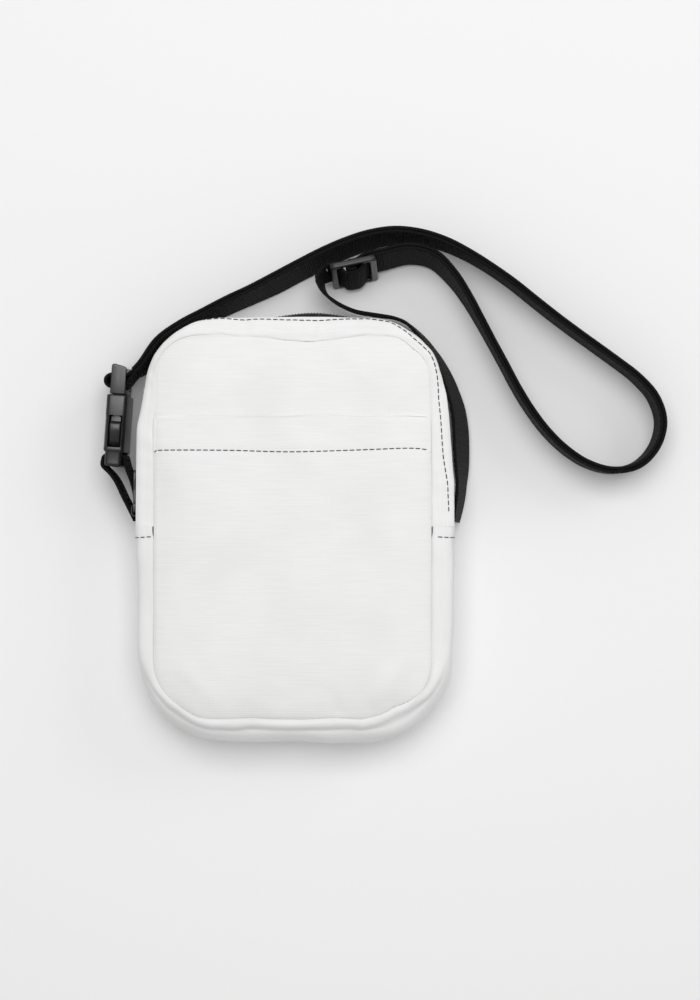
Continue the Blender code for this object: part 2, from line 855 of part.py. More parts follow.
def build_socket():
    """The socket: a shell with two side windows, and a tail with a slot for the tab."""
    half_width = buckle_width / 2
    half_thickness = buckle_thickness / 2
    socket = make_box(
        "buckle_socket",
        (-socket_reach + socket_tail, -half_thickness, -half_width),
        (socket_mouth, half_thickness, half_width),
        buckle_frame, helper=False, rounded=buckle_round, material=plastic_black,
    )
    tail_half_width = half_width - buckle_wall / 4
    tail = make_box(
        "socket_tail",
        (-socket_reach, -tail_thickness / 2, -tail_half_width),
        (-socket_reach + socket_tail + buckle_round * 2, tail_thickness / 2, tail_half_width),
        buckle_frame, rounded=buckle_round / 2,
    )
    slot_start = -socket_reach + buckle_bar
    slot = make_box(
        "tail_slot",
        (slot_start, -buckle_thickness, -webbing_width / 2 - arm_clearance),
        (slot_start + buckle_slot, buckle_thickness, webbing_width / 2 + arm_clearance),
        buckle_frame,
    )
    cavity = make_box(
        "socket_cavity",
        (-window_start - arm_clearance * 2, -cavity_half_thickness, -cavity_half_width),
        (socket_mouth + buckle_wall, cavity_half_thickness, cavity_half_width),
        buckle_frame,
    )
    window = make_box(
        "arm_windows",
        (-window_start - arm_clearance, -cavity_half_thickness, -buckle_width),
        (-window_start + window_length + arm_clearance, cavity_half_thickness, buckle_width),
        buckle_frame,
    )
    join(socket, tail)
    cut(socket, slot, cavity, window)


def build_plug():
    """The plug: base block, rails, webbing bar, neck and guide; returns the bar's place."""
    half_width = buckle_width / 2
    half_block = plug_thickness / 2
    plug = make_box(
        "buckle_plug",
        (plug_base, -half_block, -half_width + buckle_wall / 2),
        (plug_base + plug_block, half_block, half_width - buckle_wall / 2),
        buckle_frame, helper=False, rounded=plug_block / 4, material=plastic_black,
    )
    arch = half_block - touch_gap
    outline = [(plug_base + plug_block / 2, -arch)]
    for step in range(arch_steps + 1):
        angle = (step / arch_steps - 0.5) * math.pi
        outline.append(
            (plug_base + plug_length - arch + arch * math.cos(angle), arch * math.sin(angle))
        )
    outline.append((plug_base + plug_block / 2, arch))
    rail_face = webbing_width / 2 + arm_clearance
    rail_end = half_width - buckle_wall / 2 - touch_gap
    rails = (
        make_prism("plug_rail_upper", outline, rail_face, rail_end, buckle_frame),
        make_prism("plug_rail_lower", outline, -rail_end, -rail_face, buckle_frame),
    )
    bar_radius = buckle_bar / 2
    bar_x = plug_base + plug_block + webbing_thickness + 3 * touch_gap + bar_radius
    bar_reach = rail_face + buckle_wall / 2
    bar = make_rod(
        "plug_bar", (bar_x, 0.0, -bar_reach), (bar_x, 0.0, bar_reach), bar_radius, buckle_frame
    )
    neck_half = cavity_half_width - arm_shank - arm_clearance * 4
    neck = make_box(
        "plug_neck",
        (plug_base - neck_length, -slide_half_thickness, -neck_half),
        (plug_base + plug_block / 2, slide_half_thickness, neck_half),
        buckle_frame,
    )
    guide = make_box(
        "plug_guide",
        (-window_start + arm_clearance, -slide_half_thickness / 2, -guide_half),
        (plug_base, slide_half_thickness / 2, guide_half),
        buckle_frame,
    )
    join(plug, *rails, bar, neck, guide)
    return bar_x


def build_latch_arm(name, side):
    """One spring arm, in a frame at the end that it bends about."""
    shank_outer = cavity_half_width - arm_clearance
    shank_inner = shank_outer - arm_shank
    hinge = Vector((plug_base - arm_clearance, 0.0, side * (shank_outer + shank_inner) / 2))
    shank_half_thickness = slide_half_thickness - arm_clearance
    low, high = sorted((side * shank_inner, side * shank_outer))
    arm = make_box(
        name,
        Vector((-window_start + window_length / 2, -shank_half_thickness, low)) - hinge,
        Vector((plug_base - touch_gap, shank_half_thickness, high)) - hinge,
        buckle_frame @ Matrix.Translation(hinge),
        helper=False, rounded=arm_shank / 8, material=plastic_black,
    )
    low, high = sorted((side * (shank_inner - arm_clearance), side * (buckle_width / 2 - touch_gap)))
    head = make_box(
        name + "_head",
        (-window_start, -slide_half_thickness, low),
        (-window_start + window_length, slide_half_thickness, high),
        buckle_frame, rounded=arm_shank / 4,
    )
    join(arm, head)


def build_buckle_loop(bar_x):
    """The webbing's loose loop round the plug's bar; returns where its two legs meet."""
    lap = buckle_bar / 2 + touch_gap + webbing_thickness / 2
    away = strap_exit_heading - buckle_heading
    side = Vector((-math.sin(away), math.cos(away))) * (webbing_thickness + touch_gap) / 2
    centre = Vector((bar_x, 0.0))
    meeting = centre + Vector(loop_end_share) * lap
    loop = [centre + Vector(place) * lap for place in loop_shares]
    loop = [meeting + side, *loop, meeting - side]
    ribbon("strap_buckle_loop", flat_route(loop, buckle_bar / 2), buckle_frame)
    return meeting


def build_side_tab():
    """The tab: from the left gusset through the socket's tail and back to the gusset."""
    lap = tail_thickness / 2 + touch_gap + webbing_thickness / 2
    middle = -socket_reach + buckle_bar + buckle_slot / 2
    corner = buckle_slot / 4
    turn = [(-socket_reach, lap), (middle - 2 * corner, lap)]
    turn += [(middle + corner * x, lap - corner * y) for x, y in tab_turn_shares]
    turn += [(middle + corner * x, corner * y - lap) for x, y in reversed(tab_turn_shares)]
    turn = [buckle_frame @ Vector((x, y, 0.0)) for x, y in turn]
    ends = on_bag((tab_outer_end_share, tab_inner_end_share))
    outer_end, inner_end = [Vector((*place, tab_height)) for place in ends]
    path = between(outer_end, turn[0], tab_outer_shares) + turn
    path += between(inner_end, turn[-1], tab_inner_shares)
    ribbon("side_tab", smooth_route([(*place, 0.0) for place in path], buckle_bar / 2))


def build_strap(adjuster_right, adjuster_left, loop_end):
    """The doubled webbing of the long loop, and the single webbing to the right gusset."""
    start = adjuster_frame @ Vector((adjuster_right[0] + touch_gap * 2, adjuster_right[1], 0.0))
    ahead = Vector((math.cos(adjuster_heading), math.sin(adjuster_heading)))
    back = Vector((math.cos(strap_exit_heading), math.sin(strap_exit_heading)))
    finish = (buckle_frame @ loop_end.to_3d()).xy + back * touch_gap * 2
    points = [(*start.xy, 0.0, 0.0), (*(start.xy + ahead * lead_length), 0.0, 0.0)]
    for place, lean in zip(on_bag(long_route_shares), long_lean_degrees):
        points.append((*place, 0.0, math.radians(lean)))
    points += [(*(finish + back * lead_length), 0.0, 0.0), (*finish, 0.0, 0.0)]
    plan = smooth_route(points, ribbon_step)
    runs = [0.0]
    for before, after in zip(plan, plan[1:]):
        runs.append(runs[-1] + (after - before).xyz.length)
    route = []
    for point, run in zip(plan, runs):
        at_start = 1 - ease(run / strap_drop_length)
        at_end = 1 - ease((runs[-1] - run) / strap_drop_length)
        floor_height = standing_height(point.w)
        height = floor_height + (start.z - floor_height) * at_start
        height += (buckle_height - floor_height) * at_end
        route.append(Vector((point.x, point.y, height, point.w - adjuster_lean * at_start)))
    pair = (webbing_thickness + touch_gap) / 2
    ribbon("strap_outer_layer", route, offset=pair)
    ribbon("strap_inner_layer", route, offset=-pair)

    start = adjuster_frame @ Vector((adjuster_left[0] - touch_gap * 2, adjuster_left[1], 0.0))
    lead = start.xy - ahead * lead_length / 2
    points = [(*start, adjuster_lean), (*lead, start.z, adjuster_lean)]
    places = on_bag(short_route_shares)
    for index, (place, lean) in enumerate(zip(places, short_lean_degrees)):
        height = start.z + (buckle_height - start.z) * (index + 1) / len(places)
        points.append((*place, height, math.radians(lean)))
    ribbon("strap_single_layer", smooth_route(points, ribbon_step / 2))


build_shell()
build_inside()
build_zip()
build_slider()
adjuster_right_end, adjuster_left_end = build_adjuster()
buckle_loop_end = build_buckle()
build_strap(adjuster_right_end, adjuster_left_end, buckle_loop_end)
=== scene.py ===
"""Looks of a small white shoulder bag with black webbing, lying on its back on a pale floor.

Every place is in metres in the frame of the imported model: +Z out of the front panel and +Y to the
top of the bag. Each sub-assembly is a class that builds its own pieces and dresses them.
"""

import logging
import math
from bisect import bisect_right
from collections.abc import Callable, Iterable, Sequence
from dataclasses import dataclass, field, replace
from enum import Enum

import bmesh
import bpy
from mathutils import Matrix, Vector, noise
from mathutils.bvhtree import BVHTree

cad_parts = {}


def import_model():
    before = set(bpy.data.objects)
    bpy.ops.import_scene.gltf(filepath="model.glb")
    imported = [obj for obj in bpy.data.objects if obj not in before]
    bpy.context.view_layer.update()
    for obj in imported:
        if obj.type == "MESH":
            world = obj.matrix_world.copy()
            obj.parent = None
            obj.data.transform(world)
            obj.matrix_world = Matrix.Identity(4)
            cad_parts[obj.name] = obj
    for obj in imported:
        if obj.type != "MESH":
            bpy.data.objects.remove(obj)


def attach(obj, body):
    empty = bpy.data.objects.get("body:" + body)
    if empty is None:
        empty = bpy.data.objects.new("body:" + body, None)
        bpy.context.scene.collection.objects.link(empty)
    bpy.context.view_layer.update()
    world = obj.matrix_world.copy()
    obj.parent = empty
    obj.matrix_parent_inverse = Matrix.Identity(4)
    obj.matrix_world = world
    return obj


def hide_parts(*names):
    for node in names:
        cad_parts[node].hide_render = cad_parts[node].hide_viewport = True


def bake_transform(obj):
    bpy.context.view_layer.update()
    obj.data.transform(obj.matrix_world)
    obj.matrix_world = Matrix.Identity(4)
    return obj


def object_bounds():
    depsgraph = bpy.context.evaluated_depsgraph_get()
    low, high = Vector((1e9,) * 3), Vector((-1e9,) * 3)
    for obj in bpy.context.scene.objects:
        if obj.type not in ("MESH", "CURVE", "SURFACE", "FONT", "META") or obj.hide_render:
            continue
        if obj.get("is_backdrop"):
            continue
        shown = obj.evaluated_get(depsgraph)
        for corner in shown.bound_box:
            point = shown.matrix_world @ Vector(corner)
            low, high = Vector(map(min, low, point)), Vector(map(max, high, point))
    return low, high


LOG = logging.getLogger("shoulder_bag")
MM = 0.001
UP = Vector((0.0, 0.0, 1.0))

Piece = bpy.types.Object
Material = bpy.types.Material
Socket = bpy.types.NodeSocket
Rows = list[list[Vector]]
Stops = Sequence[tuple[float, float]]
Span = tuple[Vector, Vector]
Lift = Callable[[Vector, float, float], float]
Normals = Callable[[Vector, float], Vector]
Colour = tuple[float, float, float]


class Body(str, Enum):
    """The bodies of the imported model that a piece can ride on."""

    BAG = "bag"
    FLAP = "front_flap"
    SLIDER = "zip_slider"
    PULL = "zip_pull"
    PLUG = "buckle_plug"
    ARM_UPPER = "latch_arm_upper"
    ARM_LOWER = "latch_arm_lower"
    ADJUSTER = "strap_adjuster"


class Slot(str, Enum):
    """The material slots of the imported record."""

    FABRIC = "white_fabric"
    LINING = "lining"
    BINDING = "seam_binding"
    WEBBING = "webbing"
    TAPE = "zip_tape"
    COIL = "zip_coil"
    METAL = "zip_metal"
    PLASTIC = "buckle_plastic"


def ease(value: float, start: float, end: float) -> float:
    """A smooth rise from 0 at the start to 1 at the end."""
    share = min(max((value - start) / (end - start), 0.0), 1.0)
    return share * share * (3.0 - 2.0 * share)


def bump(value: float, reach: float, centre: float = 0.0) -> float:
    """A bell of height 1 about a centre, sunk to about a third at its reach."""
    return math.exp(-(((value - centre) / reach) ** 2))


def filled(inside: float, reach: float) -> float:
    """A rise from 0 at an edge toward 1 well inside it."""
    return 1 - math.exp(-inside / reach)


def between(stops: Stops, value: float) -> float:
    """Reads a value between stops of rising places by straight lines.

    Args:
        stops: Places and the values there.
        value: The place to read at.

    Returns:
        The value there.
    """
    if value <= stops[0][0]:
        return stops[0][1]
    for (x0, y0), (x1, y1) in zip(stops, stops[1:]):
        if value <= x1:
            return y0 + (y1 - y0) * (value - x0) / (x1 - x0)
    return stops[-1][1]


def drift(place: Vector, size: float, seed: float = 0.0) -> float:
    """Soft noise of about plus or minus one half, whose lumps are about a size across."""
    return noise.noise(Vector((place.x / size + seed, place.y / size - seed, place.z / size + seed * 0.7)))


def run_lengths(line: Sequence[Vector]) -> list[float]:
    """How far along a line each of its points lies.

    Args:
        line: The points of the line.

    Returns:
        The lengths, the first of them 0.
    """
    runs = [0.0]
    for before, after in zip(line, line[1:]):
        runs.append(runs[-1] + (after - before).to_3d().length)
    return runs


def even_run(line: Sequence[Vector], count: int, span: tuple[float, float] = (0.0, 1.0)) -> list[Vector]:
    """Reads a line of points again at a count of even steps, over a span of its length.

    Args:
        line: The points of the line.
        count: How many steps to make.
        span: Where to start and end, as shares.

    Returns:
        The points.
    """
    runs = run_lengths(line)
    start, end = (runs[-1] * share for share in span)
    found = []
    for number in range(count + 1):
        target = start + (end - start) * number / count
        index = min(max(bisect_right(runs, target) - 1, 0), len(line) - 2)
        step = runs[index + 1] - runs[index]
        found.append(line[index].lerp(line[index + 1], (target - runs[index]) / step if step else 0.0))
    return found


def smooth_line(points: Iterable[Sequence[float]], pieces: int = 12) -> list[Vector]:
    """A smooth curve through points of two, three or four numbers, in pieces between each two.

    Args:
        points: The stops.
        pieces: How many pieces to make between two.

    Returns:
        The fine points.
    """
    line = [Vector(point) for point in points]
    padded = [2 * line[0] - line[1], *line, 2 * line[-1] - line[-2]]
    fine = []
    for a, b, c, d in zip(padded, padded[1:], padded[2:], padded[3:]):
        for index in range(pieces):
            t = index / pieces
            fine.append(0.5 * (2 * b + (c - a) * t + (2 * a - 5 * b + 4 * c - d) * t**2
                               + (3 * b - a - 3 * c + d) * t**3))
    fine.append(line[-1])
    return fine


def corner(x: float, y: float, radius: float, quarter: int, steps: int) -> list[tuple[float, float]]:
    """A quarter circle about a centre, counter-clockwise, the quarters counted from +x."""
    turns = [(quarter + step / steps) * math.pi / 2 for step in range(steps + 1)]
    return [(x + radius * math.cos(turn), y + radius * math.sin(turn)) for turn in turns]


def rounded_rectangle(low: tuple[float, float], high: tuple[float, float], radius: float,
                      steps: int = 6) -> list[tuple[float, float]]:
    """The corners of a rounded rectangle, counter-clockwise, in the unit of its arguments."""
    xs, ys = (high[0] - radius, low[0] + radius), (high[1] - radius, low[1] + radius)
    centres = ((xs[0], ys[0]), (xs[1], ys[0]), (xs[1], ys[1]), (xs[0], ys[1]))
    return [spot for quarter, (x, y) in enumerate(centres) for spot in corner(x, y, radius, quarter, steps)]


def deselect() -> None:
    """Deselects every object, so that an operator acts on the new one alone."""
    if bpy.context.object and bpy.context.object.mode != "OBJECT":
        bpy.ops.object.mode_set(mode="OBJECT")
    bpy.ops.object.select_all(action="DESELECT")


def pick(*objs: Piece) -> Piece:
    """Selects objects, and makes the first of them active and gives it back.

    Args:
        *objs: The objects.

    Returns:
        The first.
    """
    deselect()
    for obj in objs:
        obj.select_set(True)
    bpy.context.view_layer.objects.active = objs[0]
    return objs[0]


def named(name: str) -> Piece:
    """The object that an operator has just made, with its name."""
    obj = bpy.context.object
    obj.name = obj.data.name = name
    return obj


def settle(obj: Piece) -> None:
    """Puts an object's place, turn and size into its mesh and applies all its modifiers.

    Args:
        obj: The piece.
    """
    pick(obj)
    bpy.ops.object.transform_apply(location=True, rotation=True, scale=True)
    for modifier in list(obj.modifiers):
        bpy.ops.object.modifier_apply(modifier=modifier.name)


def change(obj: Piece, kind: str, **options: object) -> None:
    """Gives an object a modifier with its options and applies it.

    Args:
        obj: The piece.
        kind: The modifier's type.
        **options: Its settings by name.
    """
    modifier = obj.modifiers.new(kind.lower(), kind)
    for key, value in options.items():
        setattr(modifier, key, value)
    settle(obj)


def edit(obj: Piece, *works: Callable[[], object]) -> None:
    """Runs operators on an object in edit mode, with all of it selected at first.

    Args:
        obj: The piece.
        *works: The operators, in order.
    """
    pick(obj)
    bpy.ops.object.mode_set(mode="EDIT")
    bpy.ops.mesh.select_all(action="SELECT")
    for work in works:
        work()
    bpy.ops.object.mode_set(mode="OBJECT")


def face_outwards() -> None:
    """Turns every face of the mesh in edit mode outwards."""
    bpy.ops.mesh.normals_make_consistent(inside=False)


def close_ends(obj: Piece, sides: int) -> None:
    """Fills the open ends of a tube, merges doubled corners and turns every face outwards."""
    edit(obj, lambda: bpy.ops.mesh.fill_holes(sides=sides))
    edit(obj, lambda: bpy.ops.mesh.remove_doubles(threshold=0.01 * MM), face_outwards)


def soften(obj: Piece, degrees: float = 40.0) -> None:
    """Shades an object smooth, except over edges sharper than an angle."""
    pick(obj)
    bpy.ops.object.shade_smooth_by_angle(angle=math.radians(degrees))


def shell_out(obj: Piece, thickness: float, offset: float = -1.0) -> None:
    """Gives a sheet its thickness, behind its faces at the offset -1 and before them at 1."""
    change(obj, "SOLIDIFY", thickness=thickness, offset=offset, use_even_offset=False,
           use_quality_normals=True)


def round_edges(obj: Piece, width: float, segments: int, degrees: float = 50.0) -> None:
    """Rounds the edges of a solid that are sharper than an angle."""
    change(obj, "BEVEL", width=width, segments=segments, limit_method="ANGLE",
           angle_limit=math.radians(degrees), harden_normals=False)


def dress(obj: Piece, slot: Slot, nodes: Sequence[str]) -> None:
    """Shows a piece in the place of its solids, which it hides."""
    if nodes:
        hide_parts(*nodes)


def ride_on(obj: Piece, body: Body, slot: Slot, *nodes: str) -> None:
    """Makes a piece move with a body, and dresses it."""
    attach(obj, body.value)
    dress(obj, slot, nodes)


def blend_on(obj: Piece, first: Body, second: Body, span: Span, slot: Slot, *nodes: str) -> None:
    """Bakes a piece's place into its mesh, and dresses it."""
    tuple(span[0])
    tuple(span[1])
    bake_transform(obj)
    dress(obj, slot, nodes)


@dataclass
class Patch:
    """A sheet laid out as rows of points, every row with as many points."""

    rows: Rows

    @property
    def lengths(self) -> tuple[float, float]:
        """The length along the middle row and up the middle column."""
        middle = self.rows[len(self.rows) // 2]
        column = [row[len(row) // 2] for row in self.rows]
        return run_lengths(middle)[-1], run_lengths(column)[-1]

    def point(self, u: float, v: float) -> Vector:
        """The point at a share along the rows and a share across them.

        Args:
            u: The share along the rows.
            v: The share across them.

        Returns:
            The point.
        """
        column = min(max(u, 0.0), 1.0) * (len(self.rows[0]) - 1)
        level = min(max(v, 0.0), 1.0) * (len(self.rows) - 1)
        i = min(int(column), len(self.rows[0]) - 2)
        j = min(int(level), len(self.rows) - 2)
        low = self.rows[j][i].lerp(self.rows[j][i + 1], column - i)
        high = self.rows[j + 1][i].lerp(self.rows[j + 1][i + 1], column - i)
        return low.lerp(high, level - j)

    def normal(self, u: float, v: float, step: float = 0.004) -> Vector:
        """The direction out of the sheet's face at two shares."""
        along = self.point(u + step, v) - self.point(u - step, v)
        across = self.point(u, v + step * 4) - self.point(u, v - step * 4)
        return along.cross(across).normalized()

    def crumple(self, rule: Lift) -> "Patch":
        """Moves each point out of the sheet, as far as a rule of its place and two shares says.

        Args:
            rule: Gives the distance from a place and two shares.

        Returns:
            The same sheet.
        """
        columns = len(self.rows[0]) - 1
        levels = len(self.rows) - 1
        moved = []
        for j, row in enumerate(self.rows):
            line = []
            for i, place in enumerate(row):
                west, east = row[max(i - 1, 0)], row[min(i + 1, columns)]
                south, north = self.rows[max(j - 1, 0)][i], self.rows[min(j + 1, levels)][i]
                out = (east - west).cross(north - south)
                if out.length > 1e-14:
                    place = place + out.normalized() * rule(place, i / columns, j / levels)
                line.append(place)
            moved.append(line)
        self.rows = moved
        return self

    def build(self, name: str, material: Material, thickness: float = 0.0) -> Piece:
        """Makes the sheet from a grid, with a UV map in metres and with a wall if it has a thickness.

        Args:
            name: The piece's name.
            material: Its finish.
            thickness: The wall, or 0 for none.

        Returns:
            The piece.
        """
        columns = len(self.rows[0]) - 1
        count = len(self.rows) - 1
        deselect()
        bpy.ops.mesh.primitive_grid_add(x_subdivisions=columns, y_subdivisions=count, size=1.0)
        obj = named(name)
        for vertex in obj.data.vertices:
            i = round((vertex.co.x + 0.5) * columns)
            j = round((vertex.co.y + 0.5) * count)
            vertex.co = self.rows[j][i]
        along, across = self.lengths
        for loop in obj.data.uv_layers.active.data:
            loop.uv = (loop.uv[0] * along, loop.uv[1] * across)
        obj.data.materials.append(material)
        edit(obj, lambda: bpy.ops.mesh.remove_doubles(threshold=0.005 * MM))
        if thickness:
            shell_out(obj, thickness)
        soften(obj, 50.0)
        return obj


def tube_rows(line: Sequence[Vector], radii: Sequence[float], sides: int) -> Rows:
    """Rings of points round a line, as rows for a closed tube; the last corner of each is its first.

    Args:
        line: The points of the line.
        radii: The radius at each point.
        sides: How many sides a ring has.

    Returns:
        One row for each point.
    """
    rows = []
    side = UP
    for index, (place, radius) in enumerate(zip(line, radii)):
        ahead = (line[min(index + 1, len(line) - 1)] - line[max(index - 1, 0)]).normalized()
        side = side - ahead * side.dot(ahead)
        side = side.normalized() if side.length > 1e-6 else ahead.orthogonal().normalized()
        other = ahead.cross(side)
        rows.append([
            place + (side * math.cos(turn) + other * math.sin(turn)) * radius
            for turn in (math.tau * number / sides for number in range(sides + 1))
        ])
    return rows


def many_tubes(name: str, tubes: Sequence[Rows], material: Material) -> Piece:
    """One piece made of many small closed tubes, with a UV map in metres.

    Args:
        name: The piece's name.
        tubes: The rows of each tube.
        material: Its finish.

    Returns:
        The piece.
    """
    obj = Patch(tubes[0]).build(name, material)
    made = bmesh.new()
    made.from_mesh(obj.data)
    uv = made.loops.layers.uv.verify()
    for rows in tubes[1:]:
        corners = [[made.verts.new(place) for place in row[:-1]] for row in rows]
        sides = len(corners[0])
        length = (rows[-1][0] - rows[0][0]).length / (len(rows) - 1)
        girth = (rows[1][1] - rows[1][0]).length
        for j in range(len(corners) - 1):
            for i in range(sides):
                k = (i + 1) % sides
                face = made.faces.new((corners[j][i], corners[j][k], corners[j + 1][k], corners[j + 1][i]))
                face.smooth = True
                for loop, (x, y) in zip(face.loops, ((j, i), (j, i + 1), (j + 1, i + 1), (j + 1, i))):
                    loop[uv].uv = (x * length, y * girth)
    bmesh.ops.holes_fill(made, edges=[edge for edge in made.edges if edge.is_boundary])
    bmesh.ops.recalc_face_normals(made, faces=made.faces)
    made.to_mesh(obj.data)
    made.free()
    return obj


def rod(name: str, line: Sequence[Vector], radius: float, sides: int, material: Material) -> Piece:
    """A closed round rod along a line."""
    return many_tubes(name, [tube_rows(line, [radius] * len(line), sides)], material)


class Wiring:
    """The nodes of one material, round its Principled shader."""

    def __init__(self, name: str) -> None:
        """Starts a material, with the map of its cloth in metres and its place in metres.

        Args:
            name: The material's name.
        """
        self.material = bpy.data.materials.new(name)
        self.material.use_nodes = True
        self.tree = self.material.node_tree
        self.shader = self.tree.nodes["Principled BSDF"]
        maps = self.node("TexCoord").outputs
        self.cloth, self.place = maps["UV"], maps["Object"]

    def node(self, kind: str, settings: dict[str, object] | None = None,
             sockets: dict[str | int, object] | None = None) -> bpy.types.Node:
        """Adds a node with its options and its inputs, each an output to link or a value.

        Args:
            kind: Its type without the prefix.
            settings: Its options.
            sockets: Its inputs by name or number.

        Returns:
            The node.
        """
        made = self.tree.nodes.new("ShaderNode" + kind)
        for key, value in (settings or {}).items():
            setattr(made, key, value)
        for key, value in (sockets or {}).items():
            self.feed(made.inputs[key], value)
        return made

    def feed(self, socket: Socket, value: object) -> None:
        """Links an output to a socket, or sets the socket's value.

        Args:
            socket: The input.
            value: An output or a value.
        """
        if isinstance(value, Socket):
            self.tree.links.new(value, socket)
        else:
            socket.default_value = value

    def scaled(self, place: Socket, size: tuple[float, float, float], turn: float = 0.0) -> Socket:
        """The map scaled along its axes, and turned about the last."""
        sockets = {"Vector": place, "Scale": size, "Rotation": (0.0, 0.0, turn)}
        return self.node("Mapping", None, sockets).outputs[0]

    def waves(self, place: Socket, axis: str, pitch: float, waver: float = 0.0) -> Socket:
        """The height, from 0 to 1, of even ridges that follow each other along an axis."""
        sockets = {"Vector": place, "Scale": math.tau / (20.0 * pitch), "Distortion": waver,
                   "Detail": 1.0, "Detail Scale": 0.4}
        return self.node("TexWave", {"bands_direction": axis}, sockets).outputs["Fac"]

    def lumps(self, place: Socket, scale: float, detail: float = 2.0) -> Socket:
        """Soft noise from 0 to 1, so many lumps to the metre."""
        return self.node("TexNoise", None, {"Vector": place, "Scale": scale, "Detail": detail}).outputs["Fac"]

    def times(self, a: Socket, b: Socket | float) -> Socket:
        """The product of an output and another or a number."""
        return self.node("Math", {"operation": "MULTIPLY"}, {0: a, 1: b}).outputs[0]

    def total(self, first: tuple[Socket, float], *others: tuple[Socket, float]) -> Socket:
        """The sum of outputs, each times its weight.

        Args:
            first: An output and its weight.
            *others: The same.

        Returns:
            The output.
        """
        found = self.times(*first)
        for term in others:
            found = self.node("Math", {"operation": "ADD"}, {0: found, 1: self.times(*term)}).outputs[0]
        return found

    def spread(self, value: Socket, low: float, high: float, start: float = 0.0, end: float = 1.0) -> Socket:
        """A number moved from one span to another."""
        sockets = {"Value": value, "From Min": start, "From Max": end, "To Min": low, "To Max": high}
        return self.node("MapRange", None, sockets).outputs[0]

    def shades(self, share: Socket, dark: Colour | Socket, light: Colour) -> Socket:
        """A colour between a dark and a light one."""
        first = dark if isinstance(dark, Socket) else (*dark, 1.0)
        return self.node("Mix", {"data_type": "RGBA"}, {0: share, 6: first, 7: (*light, 1.0)}).outputs[2]

    def raised(self, height: Socket, depth: float, strength: float = 1.0,
               under: Socket | None = None) -> Socket:
        """Relief of a depth in metres, laid over another relief if one is given.

        Args:
            height: The pattern.
            depth: Its depth.
            strength: Its share.
            under: The relief below it.

        Returns:
            The normal.
        """
        sockets: dict[str | int, object] = {"Height": height, "Distance": depth, "Strength": strength}
        if under:
            sockets["Normal"] = under
        return self.node("Bump", None, sockets).outputs[0]

    def finish(self, colour: Socket, roughness: Socket | float, relief: Socket | None = None,
               **fixed: float) -> Material:
        """Feeds the shader, other sockets by their names with underscores, and gives back the material.

        Args:
            colour: The colour.
            roughness: The roughness.
            relief: The normal.
            **fixed: Values of other sockets.

        Returns:
            The material.
        """
        self.feed(self.shader.inputs["Base Color"], colour)
        self.feed(self.shader.inputs["Roughness"], roughness)
        if relief:
            self.feed(self.shader.inputs["Normal"], relief)
        for key, value in fixed.items():
            self.shader.inputs[key.replace("_", " ")].default_value = value
        return self.material


@dataclass(frozen=True)
class Finish:
    """A finish of the object, its colour between a dark and a light one."""

    name: str
    dark: Colour
    light: Colour

    def make(self) -> Material:
        """Makes the material."""
        return self.wire(Wiring(self.name))

    def wire(self, w: Wiring) -> Material:
        """Wires the nodes of this kind of finish."""
        raise NotImplementedError

    def toned(self, w: Wiring, share: Socket, start: float = 0.0, end: float = 1.0) -> Socket:
        """The colour for a share, dark up to the start and light from the end."""
        return w.shades(w.spread(share, 0.0, 1.0, start, end), self.dark, self.light)


@dataclass(frozen=True)
class WovenPolyester(Finish):
    """White woven polyester with fine crosswise ribs and uneven yarns."""

    weft_pitch: float = 0.95 * MM
    warp_pitch: float = 0.62 * MM
    relief: float = 0.075 * MM
    # The grey of the painted shade at the front seam and near the floor, and of random soil patches
    shade_and_soil_grey: Colour = (0.66, 0.655, 0.64)

    def wire(self, w: Wiring) -> Material:
        """Wires the weave, and greys it by painted shade at the front seam and near the floor and by random
        soil.

        Args:
            w: The material's nodes.

        Returns:
            The material.
        """
        weft = w.waves(w.cloth, "Y", self.weft_pitch, 0.5)
        warp = w.waves(w.cloth, "X", self.warp_pitch, 0.4)
        yarns = w.lumps(w.scaled(w.cloth, (0.055, 1.0, 1.0)), 1050.0, 3.0)
        fibres = w.lumps(w.scaled(w.cloth, (1.0, 0.5, 1.0)), 2600.0)
        cloud = w.lumps(w.cloth, 38.0, 3.0)
        weave = w.total((weft, 0.5), (warp, 0.22), (yarns, 0.7), (fibres, 0.3))
        # The colour varies at random with the yarns and in soft clouds; its small share of the weft ribs'
        # height is painted shade
        tone = w.total((yarns, 0.75), (cloud, 0.45), (weft, 0.12))
        # The attribute holds painted shade along the front seam and near the floor, and random soil patches;
        # soft clouds fade it
        shade_and_soil = w.node("Attribute", {"attribute_name": "shade_and_soil"}).outputs["Fac"]
        shade_and_soil = w.times(shade_and_soil, w.spread(cloud, 0.4, 1.0, 0.3, 0.7))
        colour = w.shades(shade_and_soil, self.toned(w, tone, 0.30, 0.95), self.shade_and_soil_grey)
        return w.finish(colour, w.spread(fibres, 0.82, 0.97), w.raised(weave, self.relief),
                        Sheen_Weight=0.18, Sheen_Roughness=0.5, Specular_IOR_Level=0.25)


@dataclass(frozen=True)
class Taffeta(Finish):
    """Thin smooth lining cloth."""

    pitch: float = 0.35 * MM

    def wire(self, w: Wiring) -> Material:
        """Wires the fine weave and the creases, whose hollows are darkened as painted shade.

        Args:
            w: The material's nodes.

        Returns:
            The material.
        """
        weave = w.times(w.waves(w.cloth, "X", self.pitch), w.waves(w.cloth, "Y", self.pitch))
        creases = w.lumps(w.cloth, 90.0, 4.0)
        relief = w.raised(creases, 0.25 * MM, 0.6, w.raised(weave, 0.02 * MM))
        # The colour darkens in the creases' hollows and lightens on their ridges: painted shade
        return w.finish(self.toned(w, creases, 0.3, 0.7), w.spread(creases, 0.42, 0.6), relief,
                        Sheen_Weight=0.3)


